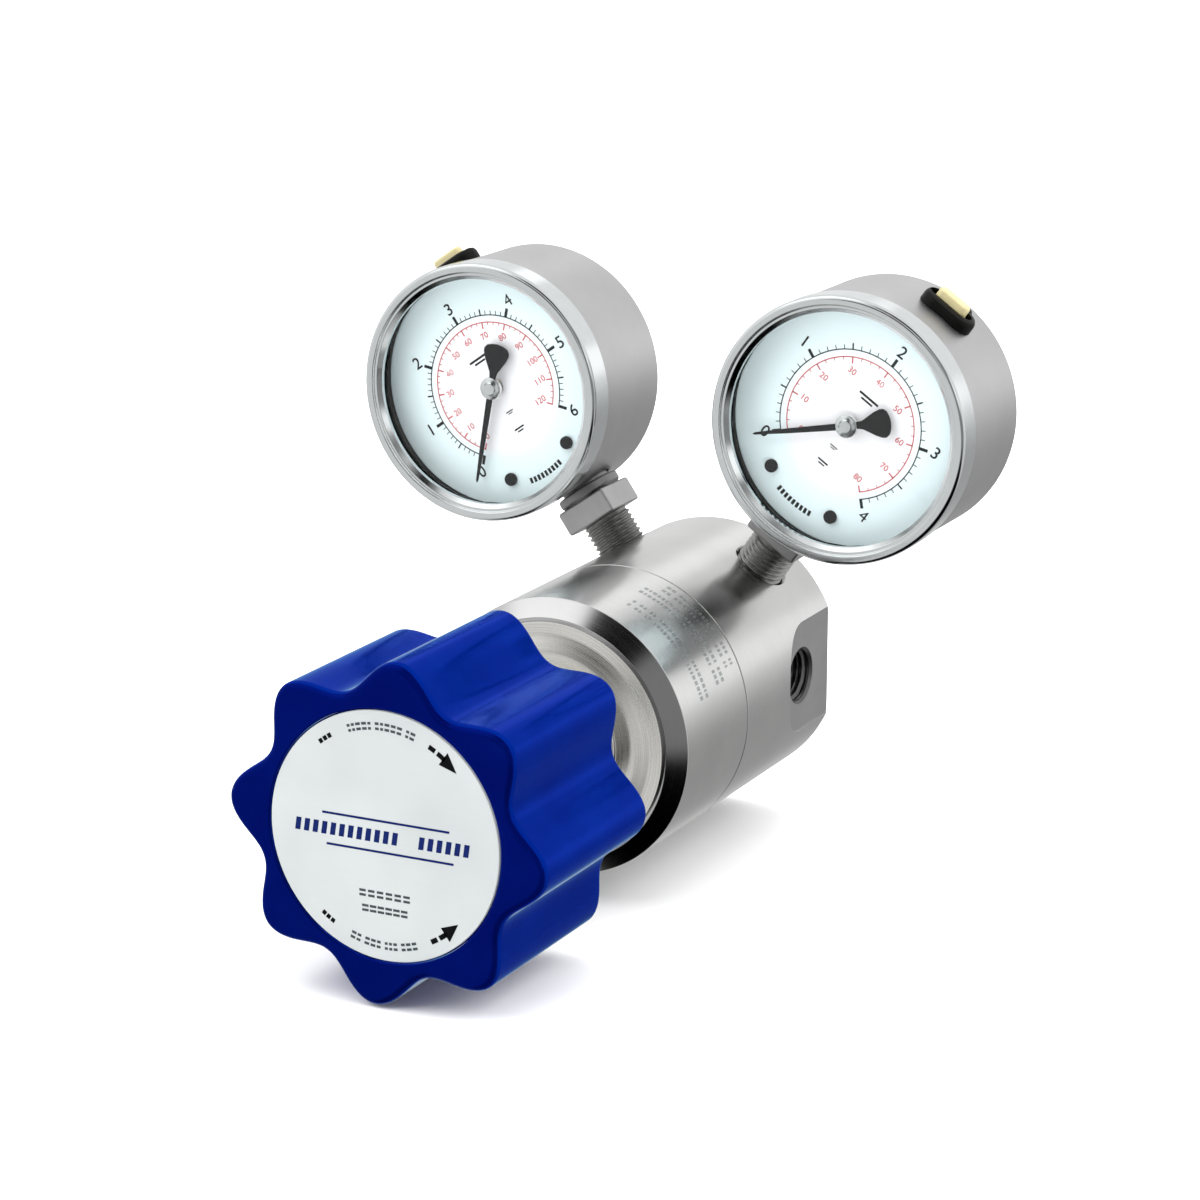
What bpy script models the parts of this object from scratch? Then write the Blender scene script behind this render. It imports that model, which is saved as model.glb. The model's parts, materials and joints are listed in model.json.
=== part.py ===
"""Piston-sensed pressure reducing valve with a hand knob and two pressure gauges.

World frame in metres, +Z up. The valve's main axis is Y: the origin is the centre of
the body's flat rear face, and the knob faces -Y. The gauges stand in a V above the
body, in the plane of the two side ports. Outlines are given in millimetres.
"""

import math

import bmesh
import bpy
from mathutils import Matrix, Vector

MM = 0.001
GAP = 0.3
FINE_STEPS = 36
ROUND_STEPS = 28
SMALL_STEPS = 12
TINY_STEPS = 8
SMOOTH_ANGLE = math.radians(32)

# Driving dimensions, in millimetres. Positions along the main axis are y values.
BODY_RADIUS = 35.2
BODY_FRONT = -58.0
BONNET_EDGE = -92.7
BONNET_FACE = -96.2
BONNET_FACE_RADIUS = 30.7
NECK_RADIUS = 17.5
NECK_FRONT = -117.0
SPRING_CAVITY_RADIUS = 16.0
SPRING_CAVITY_FRONT = -101.0
SPIGOT_REAR = -46.4

PORT_Y = -17.5
PORT_FLAT_X = 31.6
PORT_FLAT_RADIUS = 14.7
PORT_ARC_STEPS = 16
THREAD_RADIUS = 6.85
SOCKET_END = 18.0
GAUGE_SOCKET_END = 21.0
PORT_WAY_RADIUS = 2.0
GAUGE_WAY_RADIUS = 1.5
MOUNT_HOLE_OFFSET = 20.0
MOUNT_HOLE_RADIUS = 2.1
MOUNT_HOLE_DEPTH = 8.0

VALVE_POCKET_RADIUS = 6.5
VALVE_POCKET_REAR = -9.0
SEAT_BORE_RADIUS = 10.0
SEAT_FLOOR = -24.0
CHAMBER_RADIUS = 20.0
CHAMBER_FLOOR = -34.0
CHAMBER_FRONT = -46.0
SPIGOT_BORE_RADIUS = 26.0

SCREW_RADIUS = 8.0
SCREW_TIP = -98.7
SCREW_SHOULDER = -150.3
SCREW_FRONT = -168.7
SCREW_CORE_RADIUS = 5.6
SCREW_BORE_RADIUS = 3.35
SCREW_BORE_END = -156.2
HEX_RADIUS = 6.7

KNOB_LOBES = 8
KNOB_TIP_RADIUS = 41.4
KNOB_VALLEY_RADIUS = 33.7
KNOB_LOBE_SHARPNESS = 1.15
KNOB_PHASE = math.radians(5.5)
KNOB_FRONT = -178.2
KNOB_REAR = -126.5
KNOB_CAVITY_RADIUS = 27.0
KNOB_CAVITY_FLOOR = -148.0
KNOB_HUB_RADIUS = 12.5
KNOB_HUB_REAR = -134.0
KNOB_POINTS = 64
LABEL_RADIUS = 29.6
LABEL_FRONT = -178.0
LABEL_BACK = -177.2
LABEL_SEAT = -176.9

SPRING_MEAN_RADIUS = 11.5
SPRING_WIRE_RADIUS = 1.8
SPRING_REAR = -50.3
SPRING_FRONT = -90.0
SPRING_TURNS = 6
BUTTON_REAR = -90.3
BALL_RADIUS = 3.2
BALL_Y = -98.0

GAUGE_ANGLE = math.radians(35.15)
GAUGE_DISTANCE = 87.25
GAUGE_FRONT = -41.3
CASE_RADIUS = 33.5
CASE_REAR = -2.0
CASE_FRONT = -35.3
CASE_WALL = 1.4
BEZEL_RADIUS = 34.0
BEZEL_OPENING = 29.6
WINDOW_RADIUS = 32.2
DIAL_RADIUS = 31.4
DIAL_FRONT = -32.0
DIAL_BACK = -31.4
DIAL_SCREW_X = 10.0
DIAL_SCREW_Z = -22.5
POINTER_LENGTH = 26.0
POINTER_REST = math.radians(-135.0)
STEM_BLOCK_TOP = -36.6
STEM_BLOCK_BOTTOM = -43.3
STEM_BLOCK_WIDTH = 15.5
STEM_END = -65.6
THREAD_PITCH = 1.411
THREAD_TURNS = 6
PINION_TIP_RADIUS = 1.3
PINION_TEETH = 10
SECTOR_PIVOT = (0.0, -11.0)
SECTOR_TIP_RADIUS = 9.6
SECTOR_REACH = (-5.0, 32.0)
LINK_PIN = (0.0, -17.0)
TUBE_RADIUS = 22.0
TUBE_START = math.radians(-158.0)
TUBE_END = math.radians(110.0)
TUBE_HALF_WIDTH = 3.2
TUBE_HALF_THICKNESS = 1.3
TUBE_STATIONS = 18
VENT_TOP = 37.2
VENT_FLANGE_BASE = 31.4
VENT_HALF_LENGTH = 7.65
VENT_HALF_WIDTH = 4.75
VENT_NECK_RADIUS = 4.35
OVAL_POINTS = 16
LEVER_SLOT_FLOOR = 34.1
LEVER_HINGE = (-4.0, 36.0)
LEVER_PIN_RADIUS = 0.6

CARTESIAN = {"X": Vector((1, 0, 0)), "Y": Vector((0, 1, 0)), "Z": Vector((0, 0, 1))}


def clear_scene():
    for item in list(bpy.data.objects):
        bpy.data.objects.remove(item, do_unlink=True)


def make_material(name, colour, roughness, metallic, alpha=1.0):
    material = bpy.data.materials.new(name)
    material.use_nodes = True
    shader = material.node_tree.nodes["Principled BSDF"]
    shader.inputs["Base Color"].default_value = (*colour, 1.0)
    shader.inputs["Roughness"].default_value = roughness
    shader.inputs["Metallic"].default_value = metallic
    shader.inputs["Alpha"].default_value = alpha
    return material


def add_empty(name, location=(0.0, 0.0, 0.0), parent=None, turn_about_y=0.0):
    empty = bpy.data.objects.new(name, None)
    bpy.context.collection.objects.link(empty)
    empty.parent = parent
    empty.location = Vector(location) * MM
    empty.rotation_euler = (0.0, turn_about_y, 0.0)
    return empty


def add_object(name, shape, material, parent=None):
    """Turn a bmesh into a named object with smooth round faces and sharp corners."""
    bmesh.ops.recalc_face_normals(shape, faces=shape.faces)
    mesh = bpy.data.meshes.new(name)
    shape.to_mesh(mesh)
    shape.free()
    mesh.shade_smooth()
    mesh.set_sharp_from_angle(angle=SMOOTH_ANGLE)
    mesh.materials.append(material)
    piece = bpy.data.objects.new(name, mesh)
    bpy.context.collection.objects.link(piece)
    piece.parent = parent
    return piece


def combine(piece, shape, operation):
    """Cut a shape out of a piece, or join it to the piece, with an exact Boolean."""
    tool = add_object(piece.name + "_tool", shape, piece.data.materials[0], piece.parent)
    tool.hide_render = True
    tool.display_type = "WIRE"
    modifier = piece.modifiers.new(operation.lower(), "BOOLEAN")
    modifier.operation = operation
    modifier.solver = "EXACT"
    modifier.object = tool


def cut(piece, shape):
    combine(piece, shape, "DIFFERENCE")


def join(piece, shape):
    combine(piece, shape, "UNION")


def turned(outline, axis="Y", steps=ROUND_STEPS):
    """Revolve (radius, height) points about an axis; ends off the axis close the outline."""
    shape = bmesh.new()
    verts = []
    for radius, height in outline:
        along = CARTESIAN[axis] * height
        side = CARTESIAN["Y"] if axis == "X" else CARTESIAN["X"]
        verts.append(shape.verts.new((along + side * radius) * MM))
    edges = [shape.edges.new(pair) for pair in zip(verts, verts[1:])]
    if outline[0][0] > 0 or outline[-1][0] > 0:
        edges.append(shape.edges.new((verts[-1], verts[0])))
    bmesh.ops.spin(shape, geom=verts + edges, cent=(0, 0, 0), axis=CARTESIAN[axis],
                   angle=math.tau, steps=steps, use_merge=True)
    bmesh.ops.remove_doubles(shape, verts=shape.verts, dist=1e-7)
    return shape


def rod(radius, start, end, axis="Y", steps=SMALL_STEPS):
    return turned([(0.0, start), (radius, start), (radius, end), (0.0, end)], axis, steps)


def ring(inner, outer, start, end, axis="Y", steps=ROUND_STEPS):
    outline = [(inner, start), (outer, start), (outer, end), (inner, end)]
    return turned(outline, axis, steps)


def round_ring(mean_radius, wire_radius, middle, steps=SMALL_STEPS, sides=6):
    """A ring of round section about the Y axis."""
    outline = []
    for side in range(sides):
        angle = math.tau * side / sides
        outline.append((mean_radius + wire_radius * math.cos(angle),
                        middle + wire_radius * math.sin(angle)))
    return turned(outline, "Y", steps)


def box(low, high):
    shape = bmesh.new()
    bmesh.ops.create_cube(shape, size=1.0)
    size = Vector(high) - Vector(low)
    middle = (Vector(high) + Vector(low)) / 2
    bmesh.ops.scale(shape, vec=size * MM, verts=shape.verts)
    bmesh.ops.translate(shape, vec=middle * MM, verts=shape.verts)
    return shape


def prism(outline, start, end, axis="Y"):
    """Extrude a flat outline of (x, z), (y, z) or (x, y) points along Y, X or Z."""
    place = {
        "X": lambda across, up: Vector((start, across, up)),
        "Y": lambda across, up: Vector((across, start, up)),
        "Z": lambda across, up: Vector((across, up, start)),
    }[axis]
    shape = bmesh.new()
    face = shape.faces.new([shape.verts.new(place(*point) * MM) for point in outline])
    grown = bmesh.ops.extrude_face_region(shape, geom=[face])
    raised = [item for item in grown["geom"] if isinstance(item, bmesh.types.BMVert)]
    bmesh.ops.translate(shape, vec=CARTESIAN[axis] * (end - start) * MM, verts=raised)
    return shape


def moved(shape, matrix):
    bmesh.ops.transform(shape, matrix=matrix, verts=shape.verts)
    return shape


def skin(rings):
    """Join rings of equal point counts into a tube with flat end caps."""
    shape = bmesh.new()
    loops = [[shape.verts.new(Vector(point) * MM) for point in points] for points in rings]
    count = len(loops[0])
    for near, far in zip(loops, loops[1:]):
        for index in range(count):
            after = (index + 1) % count
            shape.faces.new((near[index], near[after], far[after], far[index]))
    shape.faces.new(loops[0])
    shape.faces.new(loops[-1])
    return shape


def on_circle(radius, angle, y=0.0):
    """A point at a clockwise angle from +Z, as seen from the front."""
    return (radius * math.sin(angle), y, radius * math.cos(angle))


def coil(mean_radius, wire_radius, start, end, turns, per_turn=12, sides=5):
    """A compression spring about the Y axis with one closed turn at each end."""
    closed = 2.15 * wire_radius
    low = start - wire_radius
    high = end + wire_radius
    live = (low - high - 2 * closed) / (turns - 2)
    rings = []
    for step in range(int(turns * per_turn) + 1):
        turn = step / per_turn
        fallen = closed * min(turn, 1.0)
        fallen += live * min(max(turn - 1.0, 0.0), turns - 2)
        fallen += closed * max(turn - turns + 1.0, 0.0)
        angle = math.tau * turn
        points = []
        for side in range(sides):
            around = math.tau * side / sides
            radius = mean_radius + wire_radius * math.cos(around)
            points.append(on_circle(radius, angle, low - fallen + wire_radius * math.sin(around)))
        rings.append(points)
    return skin(rings)


def lobed_ring(y, inset):
    """One loop of the knob's outline: eight rounded lobes with hollow flanks between."""
    points = []
    for index in range(KNOB_POINTS):
        angle = math.tau * index / KNOB_POINTS
        wave = 0.5 + 0.5 * math.cos(KNOB_LOBES * (angle - KNOB_PHASE))
        rise = (KNOB_TIP_RADIUS - KNOB_VALLEY_RADIUS) * wave ** KNOB_LOBE_SHARPNESS
        points.append(on_circle(KNOB_VALLEY_RADIUS + rise - inset, angle, y))
    return points


def plain_ring(radius, y):
    return [on_circle(radius, math.tau * index / KNOB_POINTS, y) for index in range(KNOB_POINTS)]


def toothed(tip_radius, depth, teeth, first, last):
    """Outline points of shallow teeth between two clockwise angles in degrees."""
    points = []
    for tooth in range(teeth):
        for share, inset in ((0.25, depth), (0.75, 0.0)):
            angle = math.radians(first + (last - first) * (tooth + share) / teeth)
            points.append(((tip_radius - inset) * math.sin(angle),
                           (tip_radius - inset) * math.cos(angle)))
    return points


def build_body(steel):
    outline = [
        (0.0, 0.0), (BODY_RADIUS - 1.2, 0.0), (BODY_RADIUS, -1.2), (BODY_RADIUS, BODY_FRONT),
        (SPIGOT_BORE_RADIUS, BODY_FRONT), (SPIGOT_BORE_RADIUS, CHAMBER_FRONT),
        (CHAMBER_RADIUS, CHAMBER_FRONT), (CHAMBER_RADIUS, CHAMBER_FLOOR),
        (SEAT_BORE_RADIUS, CHAMBER_FLOOR), (SEAT_BORE_RADIUS, SEAT_FLOOR),
        (VALVE_POCKET_RADIUS, SEAT_FLOOR), (VALVE_POCKET_RADIUS, VALVE_POCKET_REAR),
        (0.0, VALVE_POCKET_REAR),
    ]
    body = add_object("valve_body", turned(outline, steps=FINE_STEPS), steel)
    for side in (-1, 1):
        cut(body, port_flat(side))
        cut(body, port_socket(side))
        cut(body, gauge_socket(side))
        hole = rod(MOUNT_HOLE_RADIUS, 1.0, -MOUNT_HOLE_DEPTH, steps=TINY_STEPS)
        place = Matrix.Translation((0, 0, side * MOUNT_HOLE_OFFSET * MM))
        cut(body, moved(hole, place @ Matrix.Rotation(math.radians(7.0), 4, "Y")))
    inlet_way = rod(PORT_WAY_RADIUS, -SOCKET_END + 2.0, -4.0, axis="X", steps=TINY_STEPS)
    cut(body, moved(inlet_way, Matrix.Translation((0, PORT_Y * MM, 0))))
    outlet_start = Vector((16.0, PORT_Y + 0.5, 0.0))
    outlet_end = Vector((15.0, CHAMBER_FLOOR - 2.0, 0.0))
    cut(body, drilled_way(outlet_start, outlet_end, PORT_WAY_RADIUS))
    left_start = Vector(on_circle(GAUGE_SOCKET_END + 1.0, -GAUGE_ANGLE, PORT_Y))
    left_end = Vector(on_circle(4.0, -GAUGE_ANGLE, PORT_Y))
    cut(body, drilled_way(left_start, left_end, GAUGE_WAY_RADIUS))
    right_start = Vector(on_circle(GAUGE_SOCKET_END + 1.0, GAUGE_ANGLE, PORT_Y))
    right_end = Vector(on_circle(15.0, GAUGE_ANGLE, CHAMBER_FLOOR - 2.0))
    cut(body, drilled_way(right_start, right_end, GAUGE_WAY_RADIUS))


def port_flat(side):
    """Everything outside the milled flat: a slot with a round front end, open to the rear."""
    outline = [(2.0, PORT_FLAT_RADIUS), (2.0, -PORT_FLAT_RADIUS)]
    for step in range(PORT_ARC_STEPS + 1):
        angle = -math.pi / 2 + math.pi * step / PORT_ARC_STEPS
        outline.append((PORT_Y - PORT_FLAT_RADIUS * math.cos(angle),
                        PORT_FLAT_RADIUS * math.sin(angle)))
    return prism(outline, side * PORT_FLAT_X, side * (BODY_RADIUS + 2.0), axis="X")


def port_socket(side):
    """A tapered pipe-thread socket with a chamfered mouth and a drilled bottom."""
    outline = [
        (0.0, PORT_FLAT_X + 1.0), (THREAD_RADIUS + 1.4, PORT_FLAT_X + 1.0),
        (THREAD_RADIUS, PORT_FLAT_X - 0.8), (THREAD_RADIUS - 0.4, SOCKET_END),
        (4.5, SOCKET_END), (4.5, SOCKET_END - 4.0), (0.0, SOCKET_END - 4.0),
    ]
    sided = [(radius, side * along) for radius, along in outline]
    socket = turned(sided, axis="X", steps=SMALL_STEPS)
    return moved(socket, Matrix.Translation((0, PORT_Y * MM, 0)))


def gauge_socket(side):
    outline = [
        (0.0, BODY_RADIUS + 3.0), (THREAD_RADIUS + 0.9, BODY_RADIUS + 3.0),
        (THREAD_RADIUS + 0.9, BODY_RADIUS - 0.6), (THREAD_RADIUS + 0.1, BODY_RADIUS - 1.4),
        (THREAD_RADIUS + 0.1, GAUGE_SOCKET_END), (0.0, GAUGE_SOCKET_END),
    ]
    socket = turned(outline, axis="Z", steps=SMALL_STEPS)
    lean = Matrix.Rotation(side * GAUGE_ANGLE, 4, "Y")
    return moved(socket, Matrix.Translation((0, PORT_Y * MM, 0)) @ lean)


def drilled_way(start, end, radius):
    """A straight drilled passage between two points."""
    way = rod(radius, 0.0, (end - start).length, axis="Z", steps=TINY_STEPS)
    aim = (end - start).to_track_quat("Z", "Y").to_matrix().to_4x4()
    return moved(way, Matrix.Translation(start * MM) @ aim)


def build_bonnet(steel):
    outline = [
        (SPRING_CAVITY_RADIUS, SPIGOT_REAR), (SPIGOT_BORE_RADIUS - 0.4, SPIGOT_REAR),
        (SPIGOT_BORE_RADIUS - 0.4, BODY_FRONT - GAP), (BODY_RADIUS, BODY_FRONT - GAP),
        (BODY_RADIUS, BONNET_EDGE), (BONNET_FACE_RADIUS, BONNET_FACE),
        (BONNET_FACE_RADIUS, BONNET_FACE + 1.1), (BONNET_FACE_RADIUS - 0.9, BONNET_FACE + 1.1),
        (BONNET_FACE_RADIUS - 0.9, BONNET_FACE), (24.4, BONNET_FACE),
        (23.6, BONNET_FACE - 1.4), (NECK_RADIUS, BONNET_FACE - 1.4),
        (NECK_RADIUS, NECK_FRONT + 1.0), (NECK_RADIUS - 1.0, NECK_FRONT),
        (SCREW_RADIUS + GAP, NECK_FRONT), (SCREW_RADIUS + GAP, SPRING_CAVITY_FRONT),
        (SPRING_CAVITY_RADIUS, SPRING_CAVITY_FRONT),
    ]
    add_object("bonnet", turned(outline, steps=FINE_STEPS), steel)


def build_screw(steel, parent):
    outline = [
        (0.0, SCREW_TIP - 2.7), (3.5, SCREW_TIP - 2.7), (3.5, SCREW_TIP), (7.4, SCREW_TIP),
        (SCREW_RADIUS, SCREW_TIP - 0.6), (6.6, SCREW_TIP - 0.6), (6.6, SCREW_TIP - 1.9),
        (SCREW_RADIUS, SCREW_TIP - 1.9), (SCREW_RADIUS, SCREW_SHOULDER),
        (SCREW_CORE_RADIUS, SCREW_SHOULDER), (SCREW_CORE_RADIUS, SCREW_FRONT),
        (SCREW_BORE_RADIUS, SCREW_FRONT), (SCREW_BORE_RADIUS, SCREW_BORE_END),
        (0.0, SCREW_BORE_END),
    ]
    screw = add_object("adjusting_screw", turned(outline, steps=SMALL_STEPS), steel, parent)
    hexagon = ring(4.4, HEX_RADIUS, SCREW_SHOULDER + 1.0, SCREW_FRONT, steps=6)
    join(screw, hexagon)
    clip = ring(6.9, 9.6, SCREW_TIP - 0.9, SCREW_TIP - 1.6, steps=SMALL_STEPS)
    clip_piece = add_object("screw_circlip", clip, steel, parent)
    cut(clip_piece, box((-1.5, SCREW_TIP - 3.0, 0.0), (1.5, SCREW_TIP + 1.0, 12.0)))


def build_knob(plastic, parent):
    rings = [
        plain_ring(LABEL_RADIUS + 0.5, LABEL_SEAT), plain_ring(LABEL_RADIUS + 0.7, KNOB_FRONT),
        lobed_ring(KNOB_FRONT, 1.5), lobed_ring(KNOB_FRONT + 1.3, 0.0),
        lobed_ring(KNOB_REAR - 1.8, 0.0), lobed_ring(KNOB_REAR, 1.8),
        plain_ring(KNOB_CAVITY_RADIUS, KNOB_REAR),
        plain_ring(KNOB_CAVITY_RADIUS - 0.6, KNOB_CAVITY_FLOOR),
        plain_ring(KNOB_HUB_RADIUS, KNOB_CAVITY_FLOOR),
        plain_ring(KNOB_HUB_RADIUS - 0.3, KNOB_HUB_REAR),
    ]
    knob = add_object("knob", skin(rings), plastic, parent)
    cut(knob, rod(SCREW_RADIUS + 0.4, KNOB_HUB_REAR + 1.0, SCREW_SHOULDER - GAP))
    cut(knob, rod(HEX_RADIUS + 0.35, SCREW_SHOULDER + 1.0, SCREW_FRONT - GAP, steps=6))
    cut(knob, rod(3.4, SCREW_FRONT + 1.0, KNOB_FRONT - 1.0, steps=TINY_STEPS))
    cut(knob, rod(6.3, KNOB_FRONT - 1.0, LABEL_SEAT + 4.4))


def build_knob_fittings(steel, label_metal, parent):
    washer = ring(3.4, 6.0, LABEL_SEAT + 4.1, LABEL_SEAT + 3.3, steps=SMALL_STEPS)
    add_object("knob_washer", washer, steel, parent)
    outline = [
        (0.0, -157.5), (2.7, -157.5), (3.0, -158.0), (3.0, LABEL_SEAT + 3.0),
        (5.5, LABEL_SEAT + 3.0), (5.5, LABEL_SEAT + 0.8), (5.0, LABEL_SEAT + GAP),
        (0.0, LABEL_SEAT + GAP),
    ]
    screw = add_object("knob_screw", turned(outline, steps=TINY_STEPS), steel, parent)
    cut(screw, rod(2.3, LABEL_SEAT - 1.0, LABEL_SEAT + 2.2, steps=6))
    label = [
        (0.0, LABEL_BACK), (LABEL_RADIUS, LABEL_BACK), (LABEL_RADIUS, LABEL_FRONT + 0.15),
        (LABEL_RADIUS - 0.15, LABEL_FRONT), (0.0, LABEL_FRONT),
    ]
    add_object("knob_label", turned(label, steps=FINE_STEPS), label_metal, parent)


def build_spring_stack(steel, spring_steel, brass, rubber, ptfe, parents):
    button = [
        (0.0, -94.6), (3.6, -94.6), (3.6, -97.3), (8.0, -97.3), (14.6, -95.2),
        (14.6, BUTTON_REAR), (8.6, BUTTON_REAR), (8.6, BUTTON_REAR + 2.6),
        (7.8, BUTTON_REAR + 3.4), (0.0, BUTTON_REAR + 3.4),
    ]
    add_object("spring_button", turned(button, steps=SMALL_STEPS), steel, parents["button"])
    ball = bmesh.new()
    bmesh.ops.create_uvsphere(ball, u_segments=12, v_segments=8, radius=BALL_RADIUS * MM)
    bmesh.ops.translate(ball, vec=(0, BALL_Y * MM, 0), verts=ball.verts)
    add_object("thrust_ball", ball, steel, parents["button"])
    spring = coil(SPRING_MEAN_RADIUS, SPRING_WIRE_RADIUS, SPRING_REAR, SPRING_FRONT, SPRING_TURNS)
    add_object("range_spring", spring, spring_steel, parents["button"])

    piston = [
        (0.0, -37.9), (3.2, -37.9), (4.4, -39.5), (19.7, -39.5), (19.7, -40.8),
        (16.9, -40.8), (16.9, -44.9), (19.7, -44.9), (19.7, -45.9), (15.4, -45.9),
        (15.4, -50.0), (8.6, -50.0), (8.6, -52.6), (7.8, -53.5), (0.0, -53.5),
    ]
    add_object("piston", turned(piston), brass, parents["piston"])
    add_object("piston_oring", round_ring(18.45, 1.2, -42.35, ROUND_STEPS), rubber, parents["piston"])
    add_object("piston_backup_ring", ring(17.2, 19.7, -43.9, -44.6), ptfe, parents["piston"])


def build_valve_seat(steel, spring_steel, rubber, peek, mesh_metal, poppet_parent):
    retainer = [
        (2.6, -27.6), (9.7, -27.6), (9.7, -29.0), (7.9, -29.0), (7.9, -31.2), (9.7, -31.2),
        (9.7, -33.1), (9.1, -33.7), (2.6, -33.7),
    ]
    piece = add_object("seat_retainer", turned(retainer, steps=SMALL_STEPS), steel)
    cut(piece, rod(4.6, -30.4, -35.0, steps=6))
    add_object("retainer_oring", round_ring(8.95, 0.75, -30.1), rubber)
    seat = [
        (1.9, SEAT_FLOOR - GAP), (9.7, SEAT_FLOOR - GAP), (9.7, -27.3), (1.9, -27.3),
    ]
    add_object("valve_seat", turned(seat, steps=SMALL_STEPS), peek)
    poppet = [
        (0.0, -13.6), (2.2, -13.6), (2.4, -13.8), (2.4, -16.5), (3.6, -16.5), (3.6, -22.2),
        (3.2, -22.5), (1.2, -24.8), (1.2, -37.3), (1.0, -37.5), (0.0, -37.5),
    ]
    add_object("poppet", turned(poppet, steps=SMALL_STEPS), steel, poppet_parent)
    spring = coil(3.3, 0.42, VALVE_POCKET_REAR - GAP, -16.2, SPRING_TURNS, per_turn=TINY_STEPS)
    add_object("poppet_spring", spring, spring_steel, poppet_parent)
    filter_disc = rod(4.2, -17.4, -14.6, axis="X", steps=TINY_STEPS)
    filter_disc = moved(filter_disc, Matrix.Translation((0, PORT_Y * MM, 0)))
    add_object("inlet_filter", filter_disc, mesh_metal)
    filter_clip = ring(3.6, 5.9, -18.3, -19.2, axis="X", steps=SMALL_STEPS)
    filter_clip = moved(filter_clip, Matrix.Translation((0, PORT_Y * MM, 0)))
    clip = add_object("filter_clip", filter_clip, spring_steel)
    gap_low = (-20.0, PORT_Y - 1.2, -8.0)
    cut(clip, box(gap_low, (-17.5, PORT_Y + 1.2, 0.0)))


def build_gauge_shell(prefix, parent, paint):
    inner = CASE_RADIUS - CASE_WALL
    case = [
        (0.0, CASE_REAR), (CASE_RADIUS - 1.6, CASE_REAR), (CASE_RADIUS, CASE_REAR - 1.6),
        (CASE_RADIUS, -33.0), (CASE_RADIUS - 1.1, -33.0), (CASE_RADIUS - 1.1, CASE_FRONT),
        (inner - 0.4, CASE_FRONT), (inner, -32.6), (inner, CASE_REAR - CASE_WALL),
        (0.0, CASE_REAR - CASE_WALL),
    ]
    shell = add_object(prefix + "case", turned(case), paint["case"], parent)
    at_port = Matrix.Translation((0, PORT_Y * MM, 0))
    cut(shell, moved(rod(7.2, -25.0, -38.0, axis="Z"), at_port))
    cut(shell, moved(rod(4.7, 25.0, 38.0, axis="Z"), at_port))
    bezel = [
        (CASE_RADIUS - 0.8, -33.3), (BEZEL_RADIUS, -33.3), (BEZEL_RADIUS, -39.8),
        (BEZEL_RADIUS - 1.5, GAUGE_FRONT), (BEZEL_RADIUS - 2.5, GAUGE_FRONT),
        (BEZEL_OPENING, -39.4), (BEZEL_OPENING, -38.4), (CASE_RADIUS - 0.8, -38.4),
    ]
    add_object(prefix + "bezel", turned(bezel), paint["bezel"], parent)
    window = rod(WINDOW_RADIUS, -36.9, -38.1, steps=ROUND_STEPS)
    add_object(prefix + "window", window, paint["glass"], parent)
    seal = ring(30.2, WINDOW_RADIUS, CASE_FRONT - GAP, -36.6)
    add_object(prefix + "window_seal", seal, paint["rubber"], parent)


def build_gauge_dial(prefix, parent, paint):
    dial = ring(2.4, DIAL_RADIUS, DIAL_BACK, DIAL_FRONT)
    plate = add_object(prefix + "dial", dial, paint["dial"], parent)
    for side, name in ((-1, "dial_screw_left"), (1, "dial_screw_right")):
        place = Matrix.Translation((side * DIAL_SCREW_X * MM, 0, DIAL_SCREW_Z * MM))
        cut(plate, moved(rod(1.2, -30.0, -33.0, steps=TINY_STEPS), place))
        outline = [
            (0.0, -29.8), (0.9, -29.8), (0.9, DIAL_FRONT - GAP), (1.7, DIAL_FRONT - GAP),
            (1.7, -32.8), (1.2, -33.2), (0.0, -33.2),
        ]
        shape = moved(turned(outline, steps=TINY_STEPS), place)
        add_object(prefix + name, shape, paint["black"], parent)


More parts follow.
